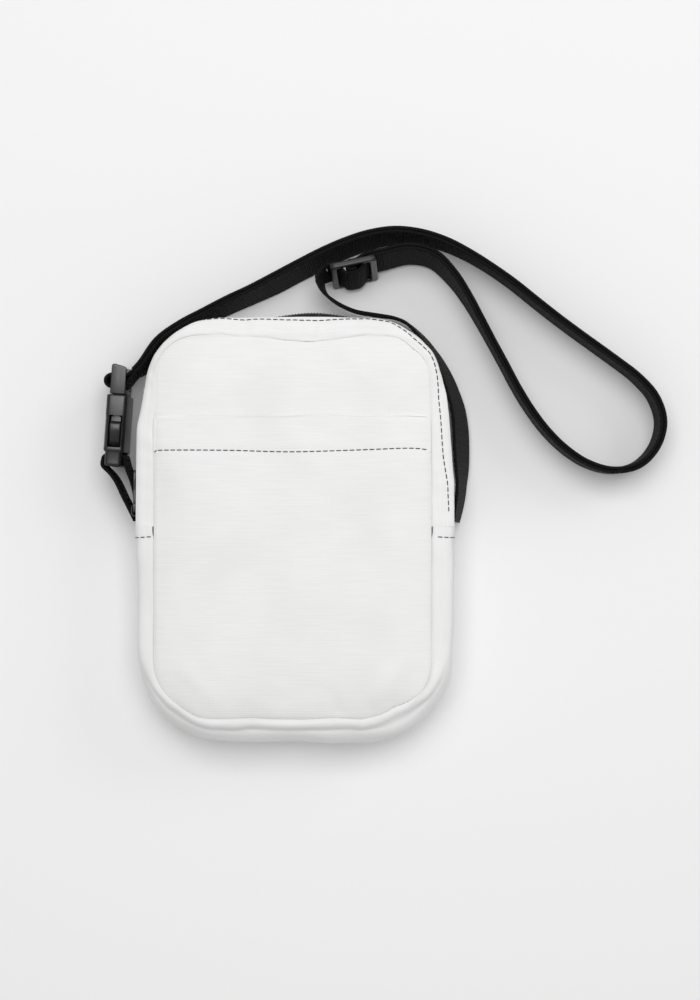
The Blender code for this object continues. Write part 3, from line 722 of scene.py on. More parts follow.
@dataclass(frozen=True)
class Webbing(Finish):
    """Black narrow-woven tape: ribs across it, paired warp yarns along it and firm edges."""

    rib_pitch: float = 1.05 * MM
    yarn_pitch: float = 1.3 * MM
    relief: float = 0.32 * MM

    def wire(self, w: Wiring) -> Material:
        """Wires the weave, its colour darker in the grooves and lighter on the ribs as painted shade, and
        uneven in soft patches.

        Args:
            w: The material's nodes.

        Returns:
            The material.
        """
        ribs = w.waves(w.cloth, "X", self.rib_pitch, 0.25)
        yarns = w.waves(w.cloth, "Y", self.yarn_pitch, 0.15)
        twist = w.waves(w.scaled(w.cloth, (1.0, 1.0, 1.0), 0.9), "X", self.rib_pitch * 0.5)
        fuzz = w.lumps(w.cloth, 2200.0, 3.0)
        weave = w.total((ribs, 0.8), (yarns, 0.14), (twist, 0.12), (fuzz, 0.3))
        # The colour follows the weave's height, painted shade in its grooves, with soft random patches
        tone = w.total((weave, 0.7), (w.lumps(w.cloth, 45.0, 3.0), 0.35))
        return w.finish(self.toned(w, tone, 0.3, 1.05), w.spread(fuzz, 0.62, 0.85),
                        w.raised(weave, self.relief), Specular_IOR_Level=0.12)


@dataclass(frozen=True)
class ZipTapeCloth(Finish):
    """Black twill tape of the zip, and the binding tape over the inner seams."""

    pitch: float = 0.55 * MM

    def wire(self, w: Wiring) -> Material:
        """Wires the twill, its colour darker in the twill's grooves as painted shade.

        Args:
            w: The material's nodes.

        Returns:
            The material.
        """
        twill = w.waves(w.scaled(w.cloth, (1.0, 1.0, 1.0), math.radians(28.0)), "X", self.pitch)
        fuzz = w.lumps(w.cloth, 2600.0)
        weave = w.total((twill, 0.7), (fuzz, 0.3))
        # The colour follows the twill's height: painted shade in its grooves
        return w.finish(self.toned(w, weave), w.spread(fuzz, 0.7, 0.9), w.raised(weave, 0.05 * MM),
                        Sheen_Weight=0.1)


@dataclass(frozen=True)
class CoilNylon(Finish):
    """Glossy black nylon of the zip's coils."""

    def wire(self, w: Wiring) -> Material:
        """Wires the gloss."""
        haze = w.lumps(w.place, 900.0, 3.0)
        return w.finish(self.toned(w, haze), w.spread(haze, 0.24, 0.46), w.raised(haze, 0.01 * MM))


@dataclass(frozen=True)
class BlackEnamel(Finish):
    """Stoved black enamel on the zip's metal, rubbed thin in places."""

    def wire(self, w: Wiring) -> Material:
        """Wires the skin and its rubbed spots.

        Args:
            w: The material's nodes.

        Returns:
            The material.
        """
        spots = w.lumps(w.place, 700.0, 5.0)
        skin = w.lumps(w.place, 3200.0)
        return w.finish(self.toned(w, spots, 0.60, 0.78), w.spread(spots, 0.24, 0.44),
                        w.raised(skin, 0.012 * MM), Coat_Weight=0.25, Coat_Roughness=0.2)


@dataclass(frozen=True)
class MouldedPlastic(Finish):
    """Black acetal of the buckle and the adjuster: spark-textured, a little scuffed."""

    def wire(self, w: Wiring) -> Material:
        """Wires the texture and the scuffs.

        Args:
            w: The material's nodes.

        Returns:
            The material.
        """
        texture = w.lumps(w.place, 2400.0, 4.0)
        scuffs = w.lumps(w.scaled(w.place, (1.0, 0.25, 1.0), 0.6), 420.0, 4.0)
        return w.finish(self.toned(w, scuffs, 0.35, 0.8), w.spread(scuffs, 0.26, 0.42, 0.3, 0.8),
                        w.raised(texture, 0.02 * MM, 0.7), Specular_IOR_Level=0.55)


@dataclass(frozen=True)
class SewingThread(Finish):
    """Black twisted thread, three plies."""

    ply: float = 0.28 * MM

    def wire(self, w: Wiring) -> Material:
        """Wires the plies, their colour lighter on each ply's crown and darker between them as painted shade.
        """
        plies = w.waves(w.scaled(w.cloth, (1.0, 1.0, 1.0), 0.75), "X", self.ply)
        return w.finish(self.toned(w, plies), w.spread(plies, 0.45, 0.7), w.raised(plies, 0.04 * MM),
                        Sheen_Weight=0.1)


@dataclass(frozen=True)
class PaleFloor(Finish):
    """Matt pale paper that the bag lies on."""

    def wire(self, w: Wiring) -> Material:
        """Wires the faint grain."""
        return w.finish(self.toned(w, w.lumps(w.place, 400.0)), 0.9, None, Specular_IOR_Level=0.1)


def grey(level: float, blue: float) -> Colour:
    """A grey, a little bluer or warmer by its last number."""
    return (level, level, blue)


class Finishes:
    """Every finish of the object, each made once."""

    def __init__(self) -> None:
        """Makes the materials."""
        tape = (grey(0.007, 0.0074), grey(0.020, 0.021))
        self.fabric = WovenPolyester("woven_polyester_white", grey(0.80, 0.797), grey(0.875, 0.87)).make()
        self.lining = Taffeta("lining_taffeta", grey(0.60, 0.61), grey(0.70, 0.71)).make()
        self.webbing = Webbing("webbing_black", grey(0.0036, 0.0039), grey(0.0135, 0.0142)).make()
        self.tape = ZipTapeCloth("zip_tape_black", *tape).make()
        self.binding = ZipTapeCloth("binding_tape_black", *tape, 0.8 * MM).make()
        self.coil = CoilNylon("zip_coil_nylon", grey(0.009, 0.0095), grey(0.022, 0.023)).make()
        self.enamel = BlackEnamel("zip_metal_enamel", grey(0.014, 0.015), (0.075, 0.073, 0.07)).make()
        self.plastic = MouldedPlastic("moulded_acetal_black", grey(0.0075, 0.0079),
                                      grey(0.019, 0.0197)).make()
        self.thread = SewingThread("thread_black", grey(0.010, 0.011), grey(0.036, 0.038)).make()
        self.floor = PaleFloor("pale_floor", grey(0.90 * 0.99, 0.90 * 0.99), grey(0.90, 0.90)).make()


@dataclass(frozen=True)
class Outline:
    """A rounded rectangle with bowed sides, seen from above."""

    half_width: float
    half_height: float
    centre_x: float
    centre_y: float
    top_radius: float
    bottom_radius: float
    bow_x: float
    bow_y: float

    def inset(self, distance: float) -> "Outline":
        """The outline drawn in by a distance."""
        names = ("half_width", "half_height", "top_radius", "bottom_radius")
        return replace(self, **{name: getattr(self, name) - distance for name in names})

    def toward(self, other: "Outline", share: float) -> "Outline":
        """The outline a share of the way to another."""
        names = self.__dataclass_fields__
        return Outline(**{n: getattr(self, n) * (1 - share) + getattr(other, n) * share for n in names})

    def bowed(self, x: float, y: float) -> Vector:
        """A point of the plain rounded rectangle, pushed out by the bow of its sides.

        Args:
            x: Its place across, from the middle.
            y: Its place up.

        Returns:
            The point, at no height.
        """
        across = x / self.half_width
        along = y / self.half_height
        return Vector((
            self.centre_x + x + self.bow_x * across * (1 - along**2),
            self.centre_y + y + self.bow_y * along * (1 - across**2),
            0.0,
        ))

    def ring(self, side_steps: int = 30, corner_steps: int = 26) -> list[Vector]:
        """The outline's points, counter-clockwise from the lower end of its right side.

        Args:
            side_steps: Steps along a side.
            corner_steps: Steps round a corner.

        Returns:
            The points.
        """
        corners = ((1, 1, self.top_radius), (-1, 1, self.top_radius),
                   (-1, -1, self.bottom_radius), (1, -1, self.bottom_radius))
        arcs = []
        for quarter, (sign_x, sign_y, radius) in enumerate(corners):
            x, y = sign_x * (self.half_width - radius), sign_y * (self.half_height - radius)
            arcs.append([Vector(spot) for spot in corner(x, y, radius, quarter, corner_steps)])
        ring = []
        for index, arc in enumerate(arcs):
            start = arcs[index - 1][-1]
            ring.extend(start.lerp(arc[0], step / side_steps) for step in range(1, side_steps))
            ring.extend(arc)
        return [self.bowed(point.x, point.y) for point in ring]

    def arc(self, cut_y: float, upper: bool, count: int) -> list[Vector]:
        """The outline above or below a line across it, counter-clockwise, in a count of even steps.

        Args:
            cut_y: The line's place.
            upper: Whether to keep what is above it.
            count: How many steps to make.

        Returns:
            The points, from the right end if upper and from the left if not.
        """
        ring = self.ring()
        sign = 1.0 if upper else -1.0
        inside = [sign * (point.y - cut_y) > 0 for point in ring]
        start = next(i for i in range(len(ring)) if inside[i] and not inside[i - 1])
        line = [self._crossing(ring[start - 1], ring[start], cut_y)]
        index = start
        while inside[index % len(ring)]:
            line.append(ring[index % len(ring)])
            index += 1
        line.append(self._crossing(ring[(index - 1) % len(ring)], ring[index % len(ring)], cut_y))
        return even_run(line, count)

    @staticmethod
    def _crossing(before: Vector, after: Vector, cut_y: float) -> Vector:
        """Where a step of the ring crosses a line."""
        return before.lerp(after, (cut_y - before.y) / (after.y - before.y))

    def inward(self, place: Vector) -> float:
        """How many millimetres inside the plain rounded rectangle a place lies.

        Args:
            place: A point of the bag.

        Returns:
            The distance, negative outside.
        """
        x = abs(place.x - self.centre_x)
        y = place.y - self.centre_y
        radius = self.top_radius if y > 0 else self.bottom_radius
        over_x = x - self.half_width + radius
        over_y = abs(y) - self.half_height + radius
        reach = math.hypot(max(over_x, 0.0), max(over_y, 0.0)) + min(max(over_x, over_y), 0.0)
        return (radius - reach) / MM

    def inside(self, place: Vector) -> float:
        """The same, or 0 outside it."""
        return max(self.inward(place), 0.0)

    def beside(self, place: Vector) -> float:
        """How many millimetres a place lies from the nearer side, seen across the outline."""
        return (self.half_width - abs(place.x - self.centre_x)) / MM

    def cloth_rows(self, heights: Sequence[float], columns: int, edge: float = 0.62) -> Rows:
        """Rows of points from side to side at heights over the middle, closer near the sides.

        Args:
            heights: The rows' places above the middle.
            columns: Steps in a row.
            edge: How wide the steps at the sides are against even ones.

        Returns:
            The rows, at no height.
        """
        rows = []
        for height in heights:
            radius = self.top_radius if height > 0 else self.bottom_radius
            over = min(max(abs(height) - self.half_height + radius, 0.0), radius)
            half = self.half_width - radius + math.sqrt(max(radius**2 - over**2, 0.0))
            row = []
            for step in range(columns + 1):
                t = 2.0 * step / columns - 1.0
                t = edge * t + (1 - edge) * math.sin(t * math.pi / 2)
                row.append(self.bowed(half * t, height))
            rows.append(row)
        return rows

    def row_heights(self, step: float, high: float | None = None) -> list[float]:
        """Heights of rows from the bottom up, a step apart and closer in the corners.

        Args:
            step: From one to the next along the sides.
            high: The highest, or none for the top.

        Returns:
            The heights, rising.
        """
        low = -self.half_height
        high = self.half_height if high is None else high
        found = [low, high]
        for sign, radius in ((-1.0, self.bottom_radius), (1.0, self.top_radius)):
            count = max(int(radius * math.pi / 2 / step), 2)
            sunk = [1 - math.cos(number / count * math.pi / 2) for number in range(count)]
            found.extend(sign * (self.half_height - radius * share) for share in sunk)
        straight_low = -self.half_height + self.bottom_radius
        straight_high = self.half_height - self.top_radius
        count = int((straight_high - straight_low) / step)
        found.extend(straight_low + (straight_high - straight_low) * n / count for n in range(count + 1))
        kept = sorted(height for height in set(found) if low - 1e-9 <= height <= high + 1e-9)
        return [h for i, h in enumerate(kept) if i == 0 or h - kept[i - 1] > 1e-6]

    def sheet(self, step: float, columns: int, height: Callable[[Vector], float]) -> Rows:
        """Rows all over the outline, raised to a height in millimetres for each place."""
        return raised(self.cloth_rows(self.row_heights(step), columns), height)


def raised(rows: Rows, height: Callable[[Vector], float]) -> Rows:
    """Rows of points raised to a height in millimetres for each place.

    Args:
        rows: The rows of points.
        height: Gives the height at a place.

    Returns:
        The same rows.
    """
    for row in rows:
        for place in row:
            place.z = height(place) * MM
    return rows


BODY_OUTLINE = Outline(70.3 * MM, 94.5 * MM, 0.0, 0.0, 34.5 * MM, 34.5 * MM, 2.2 * MM, 3.0 * MM)
SEAM_OUTLINE = Outline(62.9 * MM, 86.7 * MM, -1.0 * MM, 1.75 * MM, 19.5 * MM, 26.0 * MM, 0.0, 0.0)
CROSS_SEAM_Y = 3.3 * MM
STRIP_END_Y = CROSS_SEAM_Y - 1.2 * MM
MOUTH_Y = 52.0 * MM
FRONT_BEND = (Vector((0.0, 5.0 * MM, 40.0 * MM)), Vector((0.0, 19.0 * MM, 40.0 * MM)))


@dataclass(frozen=True)
class Crease:
    """A soft ridge or valley of the cloth between two points seen from above, in millimetres."""

    start: tuple[float, float]
    end: tuple[float, float]
    height: float
    width: float

    def lift(self, place: Vector) -> float:
        """How far it lifts the cloth at a place, in metres.

        Args:
            place: A point of the bag.

        Returns:
            The distance.
        """
        a = Vector(self.start) * MM
        run = Vector(self.end) * MM - a
        offset = place.xy - a
        share = offset.dot(run) / run.length_squared
        beside = (offset - run * min(max(share, 0.0), 1.0)).length
        fade = ease(share, -0.35, 0.25) * (1 - ease(share, 0.75, 1.35))
        return self.height * MM * bump(beside, self.width * MM) * fade


CREASES = (
    Crease((9.1, 87.2), (11.6, 92.8), 0.55, 1.1), Crease((5.0, 86.4), (8.4, 90.6), -0.35, 1.0),
    Crease((40.0, 53.5), (62.5, 51.4), -0.40, 1.5), Crease((44.0, 58.5), (58.0, 66.0), 0.45, 3.6),
    Crease((39.0, 66.0), (52.0, 76.0), -0.35, 4.5), Crease((-58.0, 62.0), (-40.0, 78.0), 0.30, 5.0),
    Crease((-30.0, 84.0), (-12.0, 72.0), 0.28, 4.0), Crease((20.0, 83.0), (34.0, 68.0), 0.30, 4.5),
    Crease((-50.0, -62.0), (-34.0, -78.0), 0.45, 4.0), Crease((36.0, -76.0), (50.0, -58.0), 0.50, 4.0),
    Crease((-12.0, -84.0), (-8.0, -70.0), 0.30, 3.0), Crease((22.0, -85.0), (15.0, -71.0), -0.35, 3.0),
)
SEAM_REACH = 8.5
# How far the front seam strays up, by the place across the bag, and the sides lean in, by the place up it
TOP_WAVE = ((-48, 0.0), (-41, 0.25), (-34, 0.7), (-26, -0.3), (-14, -0.7), (-5, -1.9), (8, -2.6),
            (22, -1.2), (33, 0.35), (42, -0.2), (48.5, -0.9), (54, -2.3), (60, -1.4), (64, 0.0))
BOTTOM_WAVE = ((-64, 0.8), (-60, 1.5), (-53, 1.8), (-44, 0.3), (-32, 0.1), (-20, 0.6), (-10, -0.1),
               (4, -0.2), (18, 0.6), (30, -0.1), (38, 1.6), (45.5, 3.8), (54, 2.2), (60, 0.2), (64, 0.0))
LEFT_LEAN = ((46, 0.0), (50, 0.6), (55, 1.6), (60, 2.4), (66, 2.7), (72, 2.4), (80, 1.4), (88, 0.4),
             (94, 0.0))
RIGHT_LEAN = ((22, 0.0), (32, 0.7), (42, 1.2), (52, 1.6), (60, 2.3), (67, 3.0), (73, 2.8), (80, 1.6),
              (88, 0.4), (94, 0.0))


def sway(place: Vector) -> Vector:
    """A point of the front or the side, moved in its plane as the sewn cloth strays and gives way.

    Args:
        place: A point of the bag before it strays.

    Returns:
        The point, moved.
    """
    x, y, height = place / MM
    beside = SEAM_OUTLINE.inward(place)
    near = bump(beside, SEAM_REACH) * ease(height, 33.5, 38.8)
    moved = place.copy()
    share = 0.3 * bump(max(beside, 0.0), SEAM_REACH) + 0.7 * ease(-beside, 0.0, 8.0)
    if x < 0:
        moved.x += between(LEFT_LEAN, y) * MM * share * ease(height, 22.0, 33.0)
    else:
        moved.x -= between(RIGHT_LEAN, y) * MM * share * ease(height, 3.0, 24.0)
    if y > 55:
        moved.y += between(TOP_WAVE, x) * MM * near
    elif y < -50:
        moved.y += between(BOTTOM_WAVE, x) * MM * near
    if y > 85:
        moved.y += 3.8 * MM * bump(x, 22.0, 9.0) * ease(height, 29.3, 31.0) * (1 - ease(height, 35.4, 37.0))
    return moved


def swayed(rows: Rows) -> Rows:
    """Rows of points with every one swayed."""
    return [[sway(place) for place in row] for row in rows]


def puckered(place: Vector) -> float:
    """How far the front's cloth stands out: long soft waves, small crumples and the creases."""
    lift = drift(place, 30 * MM, 3.1) * 0.55 * MM + drift(place, 9 * MM, 7.7) * 0.16 * MM
    return lift + sum(crease.lift(place) for crease in CREASES)


@dataclass(frozen=True)
class Level:
    """One line round the gusset, in millimetres: its height, its inset and its share of the seam's form."""

    height: float
    inset: float
    seam_share: float = 0.0


def levels(*stops: tuple[float, ...]) -> list[Level]:
    """Levels on a smooth curve through stops of a height, an inset and a share, 0 if it is left out."""
    return [Level(*point) for point in smooth_line([(*stop, 0.0)[:3] for stop in stops], 2)]


def gusset_rows(lines: Sequence[Level], upper: bool, columns: int, cut_y: float, extra: float = 0.0) -> Rows:
    """Rows round the bag's side, one for each level, over its top or round its bottom.

    They go counter-clockwise from cut to cut and all lie an extra distance further in.

    Args:
        lines: The levels, from the back to the front.
        upper: Whether to pass over the top.
        columns: Steps in a row.
        cut_y: Where the rows end at both sides.
        extra: How much further in they lie.

    Returns:
        The rows.
    """
    rows = []
    for level in lines:
        body = BODY_OUTLINE.inset(level.inset * MM + extra)
        arc = body.toward(SEAM_OUTLINE.inset(extra), level.seam_share).arc(cut_y, upper, columns)
        rows.append([Vector((p.x, p.y, level.height * MM)) for p in arc])
    return rows


def paint_shade_and_soil(obj: Piece, rule: Callable[[Vector], float]) -> None:
    """Writes the attribute of painted shade and soil of a piece by a rule of place."""
    layer = obj.data.attributes.new("shade_and_soil", "FLOAT", "POINT")
    layer.data.foreach_set("value", [rule(vertex.co) for vertex in obj.data.vertices])


def seam_and_floor_shade_and_soil(place: Vector) -> float:
    """How greyed the white cloth is: painted shade in the groove of the front seam and near the floor, and
    random soil patches.

    Args:
        place: A point of the bag.

    Returns:
        The share of painted shade and soil.
    """
    # Painted shade in the front seam's groove
    seam = 0.30 * bump(SEAM_OUTLINE.inward(place), 0.9) * ease(place.z / MM, 36, 39)
    # Painted shade near the floor
    foot = 0.5 * (1 - ease(place.z / MM, 0.5, 7.0))
    # Random soil patches
    patch = 0.35 * max(drift(place, 24 * MM, 9.0), 0.0)
    return seam + foot + patch


def lay_flat_map(obj: Piece) -> None:
    """Maps a flat piece's cloth by its place from above, so that its ribs run straight."""
    layer = obj.data.uv_layers.active.data
    for loop in obj.data.loops:
        layer[loop.index].uv = obj.data.vertices[loop.vertex_index].co.xy


@dataclass
class StitchRow:
    """A row of lockstitches along a line on a cloth."""

    name: str
    pitch: float = 3.0 * MM
    length: float = 2.15 * MM
    thread: float = 0.24 * MM
    sides: int = 6
    reading: float = 0.25 * MM

    # For each ring of a stitch: its share of the way, its rise and its radius, both in threads
    RINGS = ((0.0, -0.9, 0.75), (0.06, -0.1, 0.95), (0.25, 0.42, 1.0), (0.5, 0.55, 1.05),
             (0.75, 0.42, 1.0), (0.94, -0.1, 0.95), (1.0, -0.9, 0.75))

    def one(self, start: Vector, end: Vector, out: Vector) -> Rows:
        """Rings of one stitch, which rises out of the cloth and dips back into it."""
        line = [start.lerp(end, share) + out * self.thread * rise for share, rise, _ in self.RINGS]
        return tube_rows(line, [self.thread * size for _, _, size in self.RINGS], self.sides)

    def stitches(self, line: Sequence[Vector], normals: Normals, gap: float = 0.0) -> list[Rows]:
        """The tubes of all the stitches along a line, the first after a gap.

        The normals give the direction out of the cloth at a place and its share of the line.

        Args:
            line: Points on the cloth's face.
            normals: The directions.
            gap: How far along the first one starts.

        Returns:
            The rows of each stitch.
        """
        total = run_lengths(line)[-1]
        fine = even_run(line, max(int(total / self.reading), 8))
        step = total / (len(fine) - 1)
        found = []
        run = gap
        while run + self.length < total:
            first, last = (fine[min(int(place / step), len(fine) - 1)] for place in (run, run + self.length))
            out = normals((first + last) / 2, (run + self.length / 2) / total)
            found.append(self.one(first, last, out))
            run += self.pitch
        return found

    def sew(self, line: Sequence[Vector], normals: Normals, material: Material, gap: float = 0.0) -> Piece:
        """Sews the row along a line, as one piece that holds every stitch."""
        return many_tubes(self.name, self.stitches(line, normals, gap), material)


FOOT = ((1.9, 6.0), (4.3, 4.3), (7.1, 3.0), (10.5, 1.8), (14.2, 1.0), (18.0, 0.45))
FRONT_STRIP = levels(
    (37.7, 1.50), (37.1, 1.38), (36.65, 0.95), (36.5, 0.5), (36.8, 0.15), (37.5, 0.10, 0.02),
    (38.15, 0.2, 0.08), (38.75, 0.2, 0.18), (39.2, 0.1, 0.32), (39.55, 0.0, 0.50), (39.9, 0.0, 0.68),
    (40.2, 0.0, 0.84), (40.2, 0.0, 0.93), (39.7, 0.0, 1.0))
REAR_STRIP = levels(
    *FOOT, (22.1, 0.05), (26.0, 0.0), (28.4, 0.05), (29.4, 0.15), (29.85, 0.5), (29.8, 1.0),
    (29.4, 1.35), (28.6, 1.5))
GUSSET_SIDES = levels(
    *FOOT, (22.1, 0.0), (27.5, 0.0), (31.5, 0.15), (34.6, 0.3, 0.01), (36.6, 0.4, 0.05), (37.9, 0.3, 0.14),
    (38.8, 0.2, 0.28), (39.4, 0.0, 0.46), (39.8, 0.0, 0.64), (40.15, 0.0, 0.82), (40.2, 0.0, 0.92),
    (39.7, 0.0, 1.0))
GUSSET_BOTTOM = levels(
    *FOOT, (22.1, 0.0), (27.5, 0.6), (31.5, 1.2, 0.10), (34.2, 1.0, 0.27), (35.8, 0.6, 0.43),
    (36.5, 0.3, 0.56), (38.7, 0.2, 0.63), (40.2, 0.0, 0.72), (40.75, 0.0, 0.81), (40.7, 0.0, 0.88),
    (40.35, 0.0, 0.95), (39.7, 0.0, 1.0))
FRONT_SEWING = ((0.0, 0.565), (0.06, 0.60), (0.11, 0.66), (0.2, 0.675), (0.26, 0.6), (0.33, 0.5),
                (0.36, 0.445), (0.48, 0.46), (0.585, 0.475), (0.62, 0.42), (0.66, 0.30), (0.7, 0.25),
                (1.0, 0.25))
REAR_SEWING = ((0.0, 0.60), (1.0, 0.60))
HEM = ((-63.7, 35.7), (-60.6, 36.6), (-30.0, 36.5), (-2.0, 35.8), (30.0, 36.7), (52.0, 37.5), (61.9, 36.6))
MOUTH_FOLD = ((-0.12, -0.05), (0.0, -0.28), (0.02, -0.6), (-0.15, -0.92), (-0.8, -1.04), (-2.5, -1.06),
              (-6.0, -1.06), (-11.0, -1.06), (-16.0, -1.06))


def front_height(place: Vector) -> float:
    """The front panel's height at a place, in millimetres.

    Args:
        place: A point of the bag.

    Returns:
        The height.
    """
    inside = SEAM_OUTLINE.inside(place)
    y = place.y / MM
    rise = (2.0 + 1.7 * ease(y, 28, 55)) * filled(inside, 16) + 0.45 * filled(inside, 0.9)
    return 39.3 + 0.5 * ease(y, 46, 53) + rise


def pocket_height(place: Vector) -> float:
    """The pocket panel's height at a place, in millimetres.

    Args:
        place: A point of the bag.

    Returns:
        The height.
    """
    inside = SEAM_OUTLINE.inside(place) if place.y < 0 else max(SEAM_OUTLINE.beside(place), 0.0)
    swell = filled(inside, 14)
    above_hem = place.y / MM - between(HEM, place.x / MM)
    height = 39.95 + 0.5 * filled(inside, 0.9) + 6.0 * swell
    height -= 1.2 * swell * ease(place.y / MM, 26, 52)
    height -= 0.26 * bump(above_hem, 0.9) * min(inside / 3, 1.0)
    return height + 0.16 * bump(above_hem, 2.6, 3.0) * swell


def cloth_lift(place: Vector, *_shares: float) -> float:
    """The unevenness of the front's cloth, none where it is sewn in."""
    return puckered(place) * ease(SEAM_OUTLINE.inside(place), 0.0, 4.0)


def strip_lift(place: Vector, u: float, v: float) -> float:
    """The unevenness of the front strip: puckers along its stitching and the creases."""
    pucker = drift(Vector((u * 0.304, v * 0.004, 0.0)), 4.6 * MM, 2.0) * 0.42 * MM
    return (pucker + puckered(place)) * (ease(v, 0.25, 0.5) * (1 - ease(v, 0.9, 1.0)))


def side_lift(place: Vector, _u: float, v: float) -> float:
    """The unevenness of the bag's side, none at its seams; it only sinks, clear of the strap."""
    dents = drift(place, 26 * MM, 11.0) * 1.1 + drift(place, 11 * MM, 4.0) * 0.45
    return -abs(dents) * (ease(v, 0.02, 0.2) * (1 - ease(v, 0.62, 0.75))) * MM


def gusset_lift(place: Vector, u: float, v: float) -> float:
    """The unevenness of the lower gusset: slack waves round its corners and along its fold.

    Args:
        place: A point of the bag.
        u: The share along the rows.
        v: The share across them.

    Returns:
        The distance.
    """
    waves = drift(place, 22 * MM, 6.0) + drift(place, 8 * MM, 1.0) * 0.28
    ripple = math.sin(u * 96.0 + 1.3 * math.sin(u * 31.0)) * 0.14 * ease(-place.y / MM, 60, 84)
    lap = ease(min(u, 1 - u), 0.0, 0.03)
    return (waves * lap + ripple) * (ease(v, 0.02, 0.18) * (1 - ease(v, 0.92, 1.0))) * MM


@dataclass
class BagShell:
    """The outer cloth: back panel, gusset, zip strips, front panel and front pocket."""

    finishes: Finishes
    cloth: float = 0.5 * MM
    columns: int = 96
    row_step: float = 1.35 * MM
    strip_columns: int = 230
    gusset_columns: int = 236

    def sheet(self, name: str, rows: Rows, lift: Lift) -> tuple[Patch, Piece]:
        """A sheet of the white cloth round the bag's side, swayed, crumpled by a lift, and greyed by painted
        shade and soil.

        Args:
            name: The piece's name.
            rows: The rows of points.
            lift: Its unevenness.

        Returns:
            The sheet and the piece.
        """
        patch = Patch(swayed(rows)).crumple(lift)
        obj = patch.build(name, self.finishes.fabric, self.cloth)
        paint_shade_and_soil(obj, seam_and_floor_shade_and_soil)
        return patch, obj

    def panel(self, name: str, rows: Rows, lift: Lift, thickness: float) -> Piece:
        """A flat sheet of the white cloth, dressed as the panel's two halves.

        Args:
            name: The piece's name.
            rows: The rows of points.
            lift: Its unevenness.
            thickness: The cloth's.

        Returns:
            The piece.
        """
        obj = Patch(swayed(rows)).crumple(lift).build(name, self.finishes.fabric, thickness)
        lay_flat_map(obj)
        paint_shade_and_soil(obj, seam_and_floor_shade_and_soil)
        blend_on(obj, Body.BAG, Body.FLAP, FRONT_BEND, Slot.FABRIC, f"{name}_lower", f"{name}_upper")
        return obj

    def sew_strip(self, name: str, strip: Patch, across: Stops) -> Piece:
        """Sews the topstitching along a strip, at a share across it by the share along it.

        Args:
            name: The piece's name.
            strip: The strip.
            across: The share across at shares along.

        Returns:
            The stitches.
        """
        line = [strip.point(n / 600, between(across, n / 600)) for n in range(14, 587)]
        return StitchRow(name).sew(
            line, lambda place, share: strip.normal(0.0233 + share * 0.953, between(across, share)),
            self.finishes.thread)

    def build_front(self) -> None:
        """Makes the front panel, whose upper part shows above the pocket."""
        rows = SEAM_OUTLINE.sheet(self.row_step, self.columns, front_height)
        self.panel("front_panel", rows, cloth_lift, self.cloth)

    def build_pocket(self) -> None:
        """Makes the pocket panel with its folded mouth."""
        mouth = MOUTH_Y - SEAM_OUTLINE.centre_y
        heights = SEAM_OUTLINE.row_heights(self.row_step, mouth - 0.5 * MM)
        rows = raised(SEAM_OUTLINE.cloth_rows(heights, self.columns), pocket_height)
        top = SEAM_OUTLINE.cloth_rows([mouth], self.columns)[0]
        for back, down in MOUTH_FOLD:
            row = [place + Vector((0.0, back * MM, 0.0)) for place in top]
            rows.extend(raised([row], lambda spot, down=down: pocket_height(spot) + down * ease(
                SEAM_OUTLINE.beside(spot), 0.0, 2.5)))
        along = Vector((0.0, 0.9 * MM, 0.0))
        wavering = [[place + along * drift(place, 26 * MM, 5.0) * ease(place.y / MM, 40, 51) for place in row]
                    for row in rows]
        last, count = len(heights) - 1, len(rows) - 1

        def lift(place: Vector, _u: float, v: float) -> float:
            """The same unevenness in front of the mouth's fold and behind it."""
            behind = -ease(abs(v * count - last), 2.5, 4.5)
            return cloth_lift(place) * (1 if v * count <= last else behind)

        self.sew_hem(self.panel("pocket_panel", wavering, lift, self.cloth * 0.9))

    def sew_hem(self, pocket: Piece) -> None:
        """Sews the black topstitching of the pocket's hem onto the pocket panel.

        Args:
            pocket: The pocket panel.
        """
        tree = BVHTree.FromPolygons([v.co for v in pocket.data.vertices],
                                    [p.vertices[:] for p in pocket.data.polygons])
        above = 60 * MM
        hits = [tree.ray_cast(Vector((spot.x, spot.y, above)), -UP)[0]
                for spot in smooth_line([Vector(stop) * MM for stop in HEM], 10)]
        stitches = StitchRow("pocket_hem_stitches").sew(
            [hit for hit in hits if hit], lambda place, share: UP, self.finishes.thread, 0.5 * MM)
        ride_on(stitches, Body.FLAP, Slot.BINDING)

    def build_strips(self) -> None:
        """Makes the strip in front of the zip, its hem turned in, and the wider one behind the zip."""
        rows = gusset_rows(FRONT_STRIP, True, self.strip_columns, STRIP_END_Y)
        strip, obj = self.sheet("zip_strip_front", rows, strip_lift)
        blend_on(obj, Body.BAG, Body.FLAP, FRONT_BEND, Slot.FABRIC,
                 "front_zip_strip", "front_strip_end_left", "front_strip_end_right")
        row = self.sew_strip("strip_stitches_front", strip, FRONT_SEWING)
        blend_on(row, Body.BAG, Body.FLAP, FRONT_BEND, Slot.BINDING)

        rows = gusset_rows(REAR_STRIP, True, self.strip_columns, STRIP_END_Y)
        strip, obj = self.sheet("zip_strip_rear", rows, side_lift)
        ride_on(obj, Body.BAG, Slot.FABRIC, "rear_zip_strip")
        row = self.sew_strip("strip_stitches_rear", strip, REAR_SEWING)
        ride_on(row, Body.BAG, Slot.BINDING)

